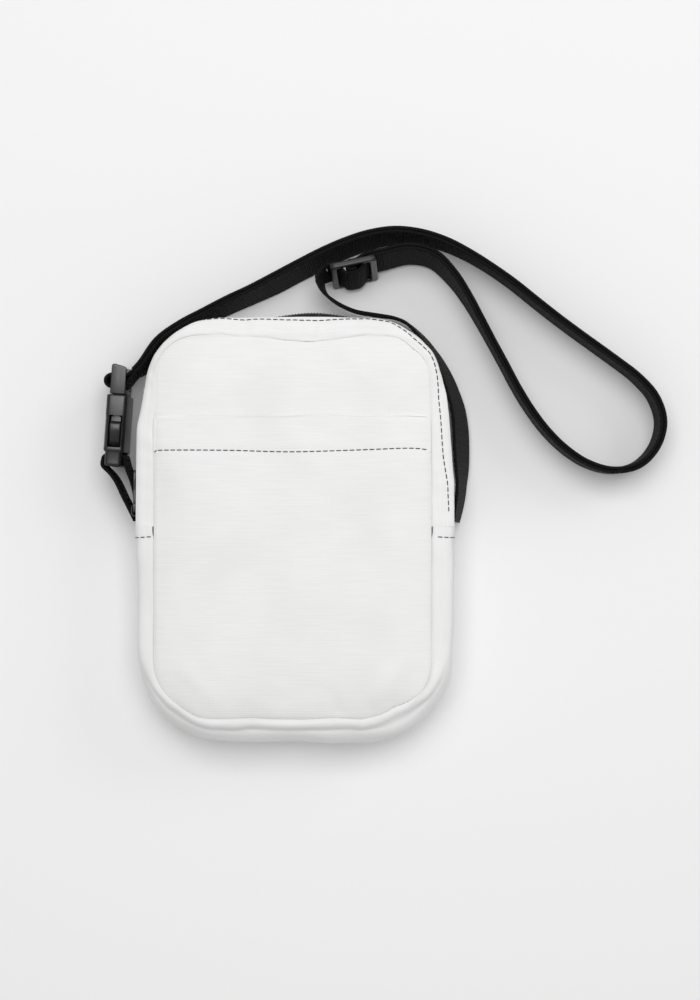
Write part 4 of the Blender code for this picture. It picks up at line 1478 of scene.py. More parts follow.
    def build_gusset(self) -> None:
        """Makes the lower gusset, which laps over the strips' ends at the cross seams."""
        columns = self.gusset_columns
        plain, rolled = (gusset_rows(lines, False, columns, CROSS_SEAM_Y)
                         for lines in (GUSSET_SIDES, GUSSET_BOTTOM))
        rows = []
        for row, other in zip(plain, rolled):
            mixed = []
            for i, place in enumerate(row):
                place = place.lerp(other[i], ease(-place.y / MM, 52, 82))
                lap = 1 - ease(min(i, columns - i), 3, 6)
                mixed.append(place + Vector((math.copysign(1.0, place.x), 0.0, 0.0)) * lap * 0.55 * MM)
            rows.append(mixed)
        gusset, obj = self.sheet("gusset_lower", rows, gusset_lift)
        ride_on(obj, Body.BAG, Slot.FABRIC, "lower_gusset")
        for name, u in (("cross_stitches_left", 0.0205), ("cross_stitches_right", 0.9795)):
            line = [gusset.point(u, 0.06 + n / 100 * 0.93) for n in range(101)]
            row = StitchRow(name).sew(
                line, lambda place, share, u=u: gusset.normal(u, 0.06 + share * 0.93), self.finishes.thread)
            ride_on(row, Body.BAG, Slot.BINDING)

    def build_back(self) -> None:
        """Makes the back panel that the bag rests on."""
        outline = BODY_OUTLINE.inset(6.6 * MM)
        plain = replace(outline, bow_x=0.0, bow_y=0.0)
        heights = outline.row_heights(2.2 * MM)
        rows, flat = (shape.cloth_rows(heights, 64) for shape in (outline, plain))
        for row, even in zip(rows, flat):
            for place, spot in zip(row, even):
                rim = math.exp(-plain.inside(spot) / 1.6)
                place.z = (0.05 + 1.35 * rim + 0.25 * abs(drift(place, 30 * MM, 4.0))) * MM
        obj = Patch([row[::-1] for row in rows]).build("back_cloth", self.finishes.fabric, self.cloth)
        lay_flat_map(obj)
        # Greys the whole back a little, and more in random patches
        paint_shade_and_soil(obj, lambda place: 0.25 + 0.4 * max(drift(place, 18 * MM, 2.0), 0.0))
        ride_on(obj, Body.BAG, Slot.FABRIC, "back_panel")

    def build(self) -> None:
        """Makes every outer piece of the bag."""
        for step in (self.build_front, self.build_pocket, self.build_strips, self.build_gusset,
                     self.build_back):
            step()
            LOG.info("outer cloth: %s", step.__name__)


@dataclass
class BagInside:
    """The lining, and the bindings over the raw seams."""

    finishes: Finishes
    wall: float = 0.3 * MM
    binding: float = 0.6 * MM
    inset: float = 2.2 * MM

    def lining(self, name: str, patch: Patch) -> Piece:
        """A piece of the lining."""
        return patch.build(name, self.finishes.lining, self.wall)

    def build_linings(self) -> None:
        """Makes the side, back and front linings."""
        lines = [Level(2.9 + step * 2.05, 6.0 * math.exp(-step / 3.2)) for step in range(11)]
        upper = swayed(gusset_rows(lines, True, 110, CROSS_SEAM_Y, self.inset))
        lower = gusset_rows(lines, False, 110, CROSS_SEAM_Y, self.inset)
        around = Patch([row[:-1] + other for row, other in zip(upper, lower)])
        obj = self.lining("lining_side", around.crumple(
            lambda place, u, v: -abs(drift(place, 15 * MM, 8.0)) * 1.4 * MM))
        ride_on(obj, Body.BAG, Slot.LINING, "side_lining")

        rows = BODY_OUTLINE.inset(12.0 * MM).sheet(
            4.0 * MM, 40, lambda place: 2.3 + 0.5 * abs(drift(place, 14 * MM, 3.0)))
        obj = self.lining("lining_back", Patch(rows))
        ride_on(obj, Body.BAG, Slot.LINING, "back_lining")

        outline = SEAM_OUTLINE.inset(3.4 * MM)
        rows = outline.sheet(3.0 * MM, 48, lambda place: 38.9 + (
            0.8 * filled(outline.inside(place), 20) - 0.5 * abs(drift(place, 16 * MM, 6.0))))
        obj = self.lining("lining_front", Patch([row[::-1] for row in rows]))
        blend_on(obj, Body.BAG, Body.FLAP, FRONT_BEND, Slot.LINING,
                 "front_lining_lower", "front_lining_upper")

    def bound_seam(self, name: str, outline: Outline, low: float, high: float) -> Piece:
        """A folded binding tape, closed on itself, round a seam allowance that stands into the bag.

        Args:
            name: The piece's name.
            outline: The line that the tape follows.
            low: Its lower edge's height.
            high: Its upper edge's height.

        Returns:
            The piece.
        """
        half = self.binding / 2
        middle = (low + high) / 2
        section = ((-1.0, low), (-1.0, middle), (-1.0, high), (0.0, high + half * 0.6), (1.0, high),
                   (1.0, middle), (1.0, low), (0.0, low - half * 0.6), (-1.0, low))
        rows = []
        for side, height in section:
            ring = outline.inset(-side * half).ring(24, 14)
            rows.append([Vector((p.x, p.y, height)) for p in even_run([*ring, ring[0]], 210)])
        return Patch(rows).build(name, self.finishes.binding)

    def build_bindings(self) -> None:
        """Makes the tapes over the back and the front seam."""
        back = self.bound_seam("binding_back_seam", BODY_OUTLINE.inset(9.6 * MM), 3.1 * MM, 6.0 * MM)
        ride_on(back, Body.BAG, Slot.BINDING, "back_seam_binding")
        front = self.bound_seam("binding_front_seam", SEAM_OUTLINE.inset(1.4 * MM), 34.9 * MM, 37.9 * MM)
        blend_on(front, Body.BAG, Body.FLAP, FRONT_BEND, Slot.BINDING,
                 "front_seam_binding_lower", "front_seam_binding_upper")

    def build(self) -> None:
        """Makes every inner piece of the bag."""
        self.build_linings()
        self.build_bindings()
        LOG.info("inside: linings and bindings")


def placed(obj: Piece, place: Matrix, material: Material) -> Piece:
    """Moves a new solid from the origin into its frame and gives it its finish.

    Args:
        obj: The piece.
        place: The frame.
        material: Its finish.

    Returns:
        The piece.
    """
    obj.data.transform(place)
    obj.data.materials.append(material)
    soften(obj)
    return obj


def block(name: str, low: Sequence[float], high: Sequence[float], place: Matrix, material: Material,
          rounding: float = 0.35, segments: int = 3) -> Piece:
    """A box between two corners of a frame with rounded edges, all in millimetres.

    Args:
        name: The piece's name.
        low: Its lowest corner.
        high: Its highest corner.
        place: The frame.
        material: Its finish.
        rounding: The radius of its edges.
        segments: Steps of the rounding.

    Returns:
        The piece.
    """
    a, b = Vector(low) * MM, Vector(high) * MM
    deselect()
    bpy.ops.mesh.primitive_cube_add(size=1.0, location=(a + b) / 2)
    obj = named(name)
    obj.scale = b - a
    settle(obj)
    round_edges(obj, rounding * MM, segments)
    return placed(obj, place, material)


def slab(name: str, outline: Stops, low: float, high: float, place: Matrix, material: Material,
         rounding: float = 0.3, segments: int = 3) -> Piece:
    """A plate of any outline in a frame's x and y with rounded edges, all in millimetres.

    Args:
        name: The piece's name.
        outline: Its corners.
        low: Its lower face along z.
        high: Its upper face.
        place: The frame.
        material: Its finish.
        rounding: The radius of its edges.
        segments: Steps of the rounding.

    Returns:
        The piece.
    """
    deselect()
    bpy.ops.mesh.primitive_circle_add(vertices=len(outline), radius=1.0, fill_type="NGON")
    obj = named(name)
    for vertex, (x, y) in zip(obj.data.vertices, outline):
        vertex.co = Vector((x, y, high)) * MM
    face_up = obj.data.polygons[0].normal.z > 0
    shell_out(obj, (high - low) * MM, -1.0 if face_up else 1.0)
    edit(obj, face_outwards)
    if rounding:
        round_edges(obj, rounding * MM, segments, 32.0)
    return placed(obj, place, material)


def carve(obj: Piece, *tools: Piece) -> None:
    """Cuts solids out of a piece and removes them.

    Args:
        obj: The piece.
        *tools: The solids to cut out.
    """
    for tool in tools:
        change(obj, "BOOLEAN", operation="DIFFERENCE", object=tool, solver="EXACT")
        bpy.data.objects.remove(tool, do_unlink=True)
    soften(obj, 32.0)


def merge(name: str, *pieces: Piece) -> Piece:
    """Joins pieces that touch or sit in each other into one object."""
    pick(*pieces)
    bpy.ops.object.join()
    return named(name)


def mirrored(half: Stops) -> list[tuple[float, float]]:
    """A whole outline from its half above the x axis."""
    return [(x, -y) for x, y in half] + list(reversed(half))


SLIDER_FRAME = Matrix.Translation(Vector((-70.577, 9.4, 33.2)) * MM) @ Matrix((
    (0.999922, 0.01252, 0.0, 0.0), (-0.01252, 0.999922, 0.0, 0.0),
    (0.0, 0.0, 1.0, 0.0), (0.0, 0.0, 0.0, 1.0)))
# Lays a plate's x and y along the y and z of its frame
ON_EDGE = Matrix(((0, 0, 1, 0), (1, 0, 0, 0), (0, 1, 0, 0), (0, 0, 0, 1)))


@dataclass
class Zip:
    """The zip between the strips: two tapes, two rows of teeth, the slider and its pull."""

    finishes: Finishes
    pitch: float = 1.45 * MM
    inset: float = 1.9 * MM
    height: float = 33.2 * MM
    end_y: float = CROSS_SEAM_Y + 0.9 * MM
    overlap: float = 0.6 * MM
    wall: float = 0.35 * MM
    steps: int = 1200

    # For each ring of a tooth: its share of the height, and half its width and half its depth in millimetres
    RINGS = ((0.0, 0.30, 0.55), (0.06, 0.44, 0.62), (0.5, 0.43, 0.60), (0.72, 0.50, 0.66),
             (0.9, 0.52, 0.66), (1.0, 0.30, 0.42))

    def tooth(self, place: Vector, out: Vector, root: float, tip: float) -> Rows:
        """Rings of one tooth, stout at the height of its root and rounded at that of its tip.

        Args:
            place: Its place on the row.
            out: The direction out of the bag.
            root: The root's height.
            tip: The tip's height.

        Returns:
            The tooth's rows.
        """
        along = out.cross(UP)
        centre = place - out * 0.7 * MM
        rows = []
        for share, wide, deep in self.RINGS:
            row = []
            for number in range(9):
                turn = math.tau * number / 8
                spot = centre + (along * math.cos(turn) * wide + out * math.sin(turn) * deep) * MM
                spot.z = root + (tip - root) * share
                row.append(spot)
            rows.append(row)
        return rows

    def chain(self, name: str, root: float, tip: float, shift: float) -> Piece:
        """One row of teeth from cross seam to cross seam, shifted by a share of their pitch.

        Args:
            name: The piece's name.
            root: The roots' height in millimetres.
            tip: The tips' height.
            shift: The share.

        Returns:
            The piece.
        """
        arc = BODY_OUTLINE.inset(self.inset).arc(self.end_y, True, self.steps)
        total = run_lengths(arc)[-1]
        teeth = []
        for number in range(int(total / self.pitch)):
            index = min(int((number + shift + 0.2) * self.pitch / total * self.steps), self.steps - 1)
            run = (arc[index + 1] - arc[index]).normalized()
            place = sway(Vector((arc[index].x, arc[index].y, self.height)))
            teeth.append(self.tooth(place, run.cross(UP), root * MM, tip * MM))
        return many_tubes(name, teeth, self.finishes.coil)

    def tape(self, name: str, section: Stops) -> Piece:
        """One tape from cross seam to cross seam, from the heights and insets across it."""
        rows = gusset_rows([Level(*stop) for stop in section], True, 200, self.end_y - self.overlap)
        return Patch(swayed(rows)).build(name, self.finishes.tape, self.wall)

    def build_chain(self) -> None:
        """Makes the tapes and the teeth."""
        rear = self.tape("zip_tape_back", ((24.8, 2.35), (27.0, 2.5), (29.0, 2.9), (30.6, 3.1), (32.2, 3.1)))
        ride_on(rear, Body.BAG, Slot.TAPE, "zip_tape_rear")
        front = self.tape("zip_tape_fore", ((34.2, 3.1), (35.4, 3.1), (36.6, 2.9), (37.7, 2.5), (38.3, 2.3)))
        blend_on(front, Body.BAG, Body.FLAP, FRONT_BEND, Slot.TAPE, "zip_tape_front")
        teeth = self.chain("zip_teeth_rear", 30.4, 32.75, 0.0)
        ride_on(teeth, Body.BAG, Slot.COIL, "zip_coil_rear")
        teeth = self.chain("zip_teeth_front", 36.0, 33.65, 0.5)
        blend_on(teeth, Body.BAG, Body.FLAP, FRONT_BEND, Slot.COIL, "zip_coil_front")

    def bridge(self) -> Piece:
        """The slider's bridge, a flat bow that the pull swings in.

        Returns:
            The piece.
        """
        path = ((-1.1, -2.4), (-2.2, -2.45), (-3.1, -2.2), (-3.65, -1.3), (-3.75, 0.0),
                (-3.65, 1.3), (-3.1, 2.2), (-2.2, 2.45), (-1.1, 2.4))
        spots = [SLIDER_FRAME @ (Vector((x, y, 0.0)) * MM) for x, y in path]
        line = even_run(smooth_line(spots, 5), 22)
        rows = []
        for row in tube_rows(line, [0.42 * MM] * len(line), 12):
            middle = sum(place.z for place in row[:-1]) / (len(row) - 1)
            rows.append([Vector((place.x, place.y, middle + (place.z - middle) * 2.1)) for place in row])
        return many_tubes("slider_bridge", [rows], self.finishes.enamel)

    def build_slider(self) -> None:
        """Makes the slider: two plates, the post between them, flanges and the bridge."""
        enamel = self.finishes.enamel
        outline = mirrored(((-5.5, 2.2), (-5.0, 2.85), (-1.5, 3.0), (2.0, 2.7), (4.6, 2.5), (5.5, 1.7)))
        turned = SLIDER_FRAME @ ON_EDGE
        plate = slab("slider_plate", outline, -1.45, -0.45, turned, enamel)
        inner = slab("slider_inner", [(x, y * 0.8) for x, y in outline], 1.85, 2.85, turned, enamel)
        post = block("slider_post", (-0.7, -5.3, -0.32), (2.1, -2.4, 0.32), SLIDER_FRAME, enamel, 0.12)
        flange = ((-5.2, 2.45), (4.4, 2.1), (4.5, 2.55), (-1.5, 3.0), (-5.0, 2.85))
        flanges = [slab(f"slider_flange_{side}", [(x, y * side) for x, y in flange[::side]], -0.9, 0.45,
                        turned, enamel, 0.12) for side in (1, -1)]
        slider = merge("zip_slider_body", plate, inner, post, *flanges, self.bridge())
        ride_on(slider, Body.SLIDER, Slot.METAL, "zip_slider")

    def build_pull(self) -> None:
        """Makes the pull: a waisted plate with an eye at each end, its pin in the bridge."""
        enamel = self.finishes.enamel
        frame = Matrix.Translation(Vector((-73.227, 9.433, 33.2)) * MM) @ SLIDER_FRAME.to_3x3().to_4x4()
        turned = frame @ ON_EDGE
        outline = mirrored(((2.6, 2.0), (5.5, 2.05), (8.0, 1.65), (10.5, 1.75), (13.0, 2.15), (16.0, 2.2),
                            (17.6, 1.8), (18.4, 0.9)))
        plate = slab("pull_plate", outline, -0.45, 0.45, turned, enamel, 0.22)
        turns = [math.tau * number / 20 for number in range(20)]
        eyes = [slab(name, [(x + wide * math.cos(turn), deep * math.sin(turn)) for turn in turns],
                     -1.0, 1.0, turned, enamel, 0.0)
                for name, x, wide, deep in (("pull_hole", 15.0, 1.5, 1.05), ("pull_window", 4.6, 1.0, 1.0))]
        carve(plate, *eyes)
        cheeks = [block(f"pull_cheek_{n}", (-0.45, -0.75, low), (0.45, 3.2, low + 0.75), frame, enamel, 0.2)
                  for n, low in enumerate((1.25, -2.0))]
        line = [frame @ Vector((0.0, 0.0, z * MM)) for z in (-1.9, -1.0, 0.0, 1.0, 1.9)]
        pull = merge("zip_pull_plate", plate, *cheeks, rod("pull_pin", line, 0.36 * MM, 12, enamel))
        ride_on(pull, Body.PULL, Slot.METAL, "zip_pull")

    def build(self) -> None:
        """Makes the whole zip."""
        self.build_chain()
        self.build_slider()
        self.build_pull()
        LOG.info("zip: tapes, teeth, slider and pull")


BUCKLE_FRAME = Matrix((
    (0.069757, -0.997564, 0.0, -81.78 * MM), (0.997564, 0.069757, 0.0, 52.942 * MM),
    (0.0, 0.0, 1.0, 16.8 * MM), (0.0, 0.0, 0.0, 1.0)))
ADJUSTER_FRAME = (
    Matrix.Translation(Vector((26.897, 119.584, 15.695)) * MM)
    @ Matrix.Rotation(math.radians(12.0), 4, "Z")
    @ Matrix.Rotation(math.radians(-13.0), 4, "X")
)

# Places on the webbing's middle, in millimetres, with its height and its lean in degrees; those without
# the two lie at the ribbon's own height, upright
LONG_ROUTE = (
    (40.1, 125.5, 15.0, -13), (51.9, 128.2, 14.8, -12), (63.2, 125.9, 14.4, -9), (72.1, 117.8, 13.8, -6),
    (79.1, 108.0, 13.3, -3), (85.1, 97.6, 12.9, -1), (90.9, 87.0), (96.6, 76.5), (102.3, 65.8),
    (108.6, 55.6), (115.9, 46.0), (124.5, 37.6), (134.5, 31.1), (146.1, 27.9), (157.8, 30.1), (166.1, 38.6),
    (169.2, 50.1), (165.8, 61.5), (158.0, 70.6), (148.5, 78.0), (138.7, 85.1), (129.0, 92.1), (119.4, 99.3),
    (109.9, 106.8), (100.5, 114.3), (90.7, 121.2), (80.4, 127.5, 12.8, 1), (69.6, 132.7, 12.9, 3),
    (58.0, 136.1, 12.9, 5), (46.0, 136.9, 12.9, 8), (34.2, 134.9, 12.8, 10), (22.8, 131.0, 12.8, 11),
    (11.9, 126.0, 12.8, 12), (1.2, 120.5, 12.8, 12), (-9.5, 114.8, 12.8, 12), (-20.3, 109.6, 12.9, 10),
    (-31.3, 104.6, 13.4, 9), (-42.1, 99.1, 14.2, 8), (-52.5, 93.5, 15.2, 8), (-62.1, 86.4, 16.1, 8),
    (-69.2, 77.0, 16.6, 6), (-73.8, 72.9, 16.8, 2),
)
SHORT_ROUTE = (
    (14.7, 119.3, 15.2, 13), (11.2, 116.0, 15.3, 8), (12.9, 110.5, 15.5, 4), (17.2, 106.4, 15.6, 3),
    (22.4, 103.4, 15.6, 3), (27.9, 101.2, 15.7, 3), (33.8, 100.1, 15.8, 3), (39.7, 99.2, 15.8, 3),
    (45.5, 98.3, 15.9, 4), (51.0, 96.0, 15.9, 4), (55.5, 92.1, 15.9, 6), (59.5, 87.7, 16.0, 8),
    (62.9, 82.9, 16.0, 10), (65.9, 78.1, 16.1, 12), (68.6, 73.2, 16.1, 13), (71.0, 68.0, 16.2, 14),
    (73.0, 62.5, 16.2, 15), (74.7, 57.0, 16.3, 16), (75.7, 51.2, 16.3, 17), (76.2, 45.3, 16.4, 18),
    (76.4, 39.3, 16.4, 18), (76.6, 33.3, 16.5, 17), (76.7, 27.4, 16.5, 15), (76.5, 21.4, 16.6, 12),
    (76.0, 15.5, 16.7, 11), (75.0, 9.6, 16.7, 10), (73.9, 3.8, 16.8, 8),
)
TAB_ROUTE = (
    (-73.5, 4.6), (-76.3, 10.4), (-79.2, 16.1), (-81.9, 21.9), (-84.6, 25.9), (-88.0, 29.4), (-88.5, 30.9),
    (-88.2, 32.5), (-87.8, 34.0), (-86.5, 34.7), (-84.9, 34.7), (-81.7, 34.4), (-80.1, 34.3), (-78.7, 33.9),
    (-78.3, 32.4), (-77.5, 29.3), (-76.4, 26.2), (-75.3, 23.2), (-74.4, 20.1), (-73.7, 17.0), (-73.5, 13.7),
    (-73.4, 10.5),
)
# The same in the frames of the adjuster and the buckle
WRAP_ROUTE = (
    (-11.95, 2.3), (-8.9, 2.4), (-7.7, 2.0), (-6.3, -0.1), (-5.5, -1.1), (-4.9, -2.2), (-4.1, -3.2),
    (-2.9, -3.6), (-0.4, -3.8), (0.9, -3.8), (2.1, -3.4), (3.2, -2.7), (4.1, -1.8), (4.7, -0.8), (5.5, 0.3),
    (6.5, 1.0), (7.5, 1.7), (8.5, 2.3), (11.1, 2.3), (14.1, 2.3),
)
FOLD_ROUTE = (
    (14.1, 4.0), (11.1, 4.0), (8.6, 4.0), (7.4, 3.9), (6.2, 3.6), (5.0, 3.3), (3.8, 2.8), (2.7, 2.3),
    (1.5, 2.0), (-1.0, 2.0), (-2.2, 1.7), (-2.8, 0.7), (-2.8, -0.6), (-2.3, -1.7), (-1.1, -2.0), (1.3, -2.0),
)
LOOP_ROUTE = (
    (21.0, -5.9), (19.5, -4.5), (18.6, -3.1), (18.5, -1.6), (18.6, 0.0), (18.7, 1.6), (18.7, 3.2),
    (18.2, 4.7), (17.2, 5.9), (15.7, 6.3), (14.2, 5.8), (13.2, 4.6), (12.9, 3.0), (12.8, 1.4), (13.0, -0.1),
    (13.6, -1.6), (14.5, -2.9), (15.7, -3.9), (17.1, -4.8), (18.3, -5.8), (19.9, -7.2),
)
# The spans given with each length: out of the adjuster on the doubled and on the single run, and into the
# buckle
LEAVING_DOUBLED = (Vector((40.0, 120.0, 15.0)) * MM, Vector((84.0, 120.0, 15.0)) * MM)
LEAVING_SINGLE = (Vector((12.0, 119.0, 15.0)) * MM, Vector((24.0, 102.5, 15.0)) * MM)
REACHING_BUCKLE = (Vector((-34.0, 104.0, 15.0)) * MM, Vector((-72.0, 74.0, 15.0)) * MM)


@dataclass
class Ribbon:
    """Webbing on edge along a route of places, heights and leans."""

    name: str
    route: Sequence[tuple[float, ...]]
    place: Matrix = field(default_factory=Matrix)
    height: float = 0.0
    offset: float = 0.0
    step: float = 1.6 * MM
    width: float = 24.9 * MM
    thickness: float = 1.5 * MM
    span: tuple[float, float] = (0.0, 1.0)
    waver: float = 0.10 * MM

    def line(self) -> list[tuple[Vector, float]]:
        """Even places along the route, each with the webbing's lean there.

        Returns:
            The places and leans.
        """
        stops = [stop if len(stop) > 2 else (*stop, self.height, 0.0) for stop in self.route]
        fine = smooth_line([(x * MM, y * MM, z * MM, math.radians(lean)) for x, y, z, lean in stops])
        start, end = (run_lengths(fine)[-1] * share for share in self.span)
        spots = even_run(fine, max(int((end - start) / self.step), 4), self.span)
        return [(spot.xyz, spot.w) for spot in spots]

    def section(self) -> list[tuple[float, float]]:
        """The cross-section, across the thickness and up the width, with selvages a little full.

        Returns:
            The corners, the last of them the first again.
        """
        half, deep, edge = self.width / 2, self.thickness / 2, 2.2 * MM
        upper = [(deep * 0.96, half * 0.4), (deep * 0.94, half - edge), (deep * 1.02, half - deep * 0.9),
                 (deep * 0.72, half - deep * 0.25)]
        side = [(x, -y) for x, y in reversed(upper)] + upper
        other = [(-x, y) for x, y in reversed(side)]
        return [*side, (0.0, half), *other, (0.0, -half), side[0]]

    def frames(self) -> list[tuple[Vector, Vector, Vector]]:
        """At each even place: the middle, the direction across the thickness and the one up the width.

        Returns:
            A middle and two directions for each place.
        """
        line = self.line()
        found = []
        for index, (spot, lean) in enumerate(line):
            run = line[min(index + 1, len(line) - 1)][0] - line[max(index - 1, 0)][0]
            left = Vector((-run.y, run.x, 0.0)).normalized()
            rise = UP * math.cos(lean) - left * math.sin(lean)
            across = left * math.cos(lean) + UP * math.sin(lean)
            found.append((spot + across * self.offset, across, rise))
        return found

    def surface(self, share: float, height: float) -> tuple[Vector, Vector]:
        """A place on the left face, at a share of the length and a height, and the direction out of it.

        Args:
            share: The share of the length.
            height: How far up from the middle.

        Returns:
            The place and the direction.
        """
        frames = self.frames()
        index = min(int(share * (len(frames) - 1)), len(frames) - 2)
        spot = frames[index][0].lerp(frames[index + 1][0], share * (len(frames) - 1) - index)
        _, across, rise = frames[index]
        spot = spot + rise * height + across * self.thickness * 0.48
        return self.place @ spot, (self.place.to_3x3() @ across).normalized()

    def build(self, material: Material) -> Piece:
        """Makes the webbing as a closed solid with rounded selvages.

        Args:
            material: Its finish.

        Returns:
            The piece.
        """
        section = self.section()
        rows = []
        run = 0.0
        frames = self.frames()
        for index, (spot, across, rise) in enumerate(frames):
            run += (spot - frames[max(index - 1, 0)][0]).length
            stray = drift(Vector((run, 0.0, 0.0)), 17 * MM, 3.0) * self.waver
            rows.append([self.place @ (spot + across * x + rise * (y + stray)) for x, y in section])
        columns = [list(column) for column in zip(*rows)]
        obj = Patch(columns[::-1]).build(self.name, material)
        close_ends(obj, 64)
        soften(obj, 55.0)
        return obj


@dataclass
class Strap:
    """The webbing: the long doubled loop, the single run, the turns and the tab, with their sewing."""

    finishes: Finishes
    turn_share: float = 0.37
    pair: float = 0.85 * MM

    def sew_box(self, name: str, ribbon: Ribbon, a: float, b: float) -> Piece:
        """A sewn box with a cross on the webbing, between two shares of its length.

        Args:
            name: The stitching's name.
            ribbon: The webbing.
            a: The first share.
            b: The last share.

        Returns:
            The stitches.
        """
        top = ribbon.width / 2 - 3.0 * MM
        corners = ((a, -top), (b, -top), (b, top), (a, top))
        row = StitchRow(name, pitch=2.6 * MM, length=2.0 * MM, thread=0.2 * MM)
        tubes = []
        for first, last in ((0, 1), (1, 2), (2, 3), (3, 0), (0, 2), (3, 1)):
            (u0, h0), (u1, h1) = corners[first], corners[last]
            places = [ribbon.surface(u0 + (u1 - u0) * n / 12, h0 + (h1 - h0) * n / 12) for n in range(13)]
            line, out = [place for place, _ in places], places[6][1]
            tubes.extend(row.stitches(line, lambda place, share, out=out: out, 0.3 * MM))
        return many_tubes(name, tubes, self.finishes.tape)

    def lay(self, ribbon: Ribbon, first: Body, second: Body, span: Span, node: str) -> None:
        """Makes a length of webbing and dresses it."""
        blend_on(ribbon.build(self.finishes.webbing), first, second, span, Slot.WEBBING, node)

    def build_runs(self) -> None:
        """Makes the doubled loop's layers, each in two lengths that meet far out, and the single run."""
        for label, offset in (("outer", self.pair), ("inner", -self.pair)):
            first, last = (
                Ribbon(f"strap_{label}_{part}", LONG_ROUTE, height=12.8, offset=offset, span=span,
                       step=2 * MM)
                for part, span in (("start", (0.0, self.turn_share)), ("end", (self.turn_share, 1.0))))
            self.lay(first, Body.ADJUSTER, Body.BAG, LEAVING_DOUBLED, f"strap_{label}_layer")
            self.lay(last, Body.BAG, Body.PLUG, REACHING_BUCKLE, f"strap_{label}_layer")
            if label == "outer":
                sewn = self.sew_box("strap_stitches_adjuster", first, 0.03, 0.12)
                blend_on(sewn, Body.ADJUSTER, Body.BAG, LEAVING_DOUBLED, Slot.WEBBING)
        self.lay(Ribbon("strap_single_run", SHORT_ROUTE), Body.ADJUSTER, Body.BAG, LEAVING_SINGLE,
                 "strap_single_layer")

    def build_turns(self) -> None:
        """Makes the webbing through the adjuster, round the buckle's bar and through its tail."""
        for name, node, route, place, height, body in (
            ("strap_threading", "strap_wrap", WRAP_ROUTE, ADJUSTER_FRAME, 0.0, Body.ADJUSTER),
            ("strap_sewn_turn", "strap_sewn_fold", FOLD_ROUTE, ADJUSTER_FRAME, 0.0, Body.ADJUSTER),
            ("strap_bar_loop", "strap_buckle_loop", LOOP_ROUTE, BUCKLE_FRAME, 0.0, Body.PLUG),
            ("tab_webbing", "side_tab", TAB_ROUTE, Matrix(), 16.8, Body.BAG),
        ):
            ribbon = Ribbon(name, route, place, height, step=0.8 * MM, waver=0.04 * MM)
            ride_on(ribbon.build(self.finishes.webbing), body, Slot.WEBBING, node)

    def build(self) -> None:
        """Makes all the webbing."""
        self.build_runs()
        self.build_turns()
        LOG.info("strap: long loop, single run, turns and tab")


# Along x: the place, the lowest and highest y, the lowest and highest z and the corner radius, in millimetres
Station = tuple[float, float, float, float, float, float]


def loft(name: str, stations: Sequence[Station], place: Matrix, material: Material) -> Piece:
    """A closed solid that runs through rounded rectangles along the frame's x.

    Args:
        name: The piece's name.
        stations: The rectangles, in order.
        place: The frame.
        material: Its finish.

    Returns:
        The piece.
    """
    rows = []
    for x, y_low, y_high, z_low, z_high, radius in stations:
        radius = min(radius, (y_high - y_low) * 0.49, (z_high - z_low) * 0.49)
        ring = [place @ (Vector((x, y, z)) * MM)
                for y, z in rounded_rectangle((y_low, z_low), (y_high, z_high), radius, 5)]
        rows.append([*ring, ring[0]])
    obj = Patch(rows).build(name, material)
    close_ends(obj, 200)
    soften(obj, 38.0)
    return obj


def upside_down(stations: Sequence[Station]) -> list[Station]:
    """The same stations with z the other way up."""
    return [(x, y0, y1, -z1, -z0, radius) for x, y0, y1, z0, z1, radius in stations]


@dataclass
class Adjuster:
    """The moulded three-bar slide on the strap."""

    finishes: Finishes
    length: float = 21.6
    width: float = 31.0
    thickness: float = 2.8
    bar: float = 3.1
    rail: float = 2.4

    def build(self) -> None:
        """Makes the frame with its two windows and the ribbed bar between them."""
        plastic = self.finishes.plastic
        turned = ADJUSTER_FRAME @ Matrix(((1, 0, 0, 0), (0, 0, -1, 0), (0, 1, 0, 0), (0, 0, 0, 1)))
        x, z, y = self.length / 2, self.width / 2, self.thickness / 2
        frame = slab("adjuster_frame", rounded_rectangle((-x, -z), (x, z), 2.2), -y, y, turned, plastic, 0.0)
        hole = rounded_rectangle((self.bar - x, self.rail - z), (x - self.bar, z - self.rail), 0.9, 4)
        carve(frame, slab("adjuster_window", hole, -3.0, 3.0, turned, plastic, 0.0))
        round_edges(frame, 0.75 * MM, 4, 55.0)
        soften(frame)
        inner = z - self.rail + 0.8
        middle = block("adjuster_bar", (-1.45, -0.95, -inner), (1.45, 0.95, inner), ADJUSTER_FRAME,
                       plastic, 0.5)
        ribs = [block(f"adjuster_rib_{number}", (-1.1, -1.0, -12.3 + 2.05 * number),
                      (1.1, 1.0, -11.6 + 2.05 * number), ADJUSTER_FRAME, plastic, 0.2, 2)
                for number in range(13)]
        adjuster = merge("strap_slide", frame, middle, *ribs)
        ride_on(adjuster, Body.ADJUSTER, Slot.PLASTIC, "strap_adjuster")
        LOG.info("adjuster: frame and ribbed bar")


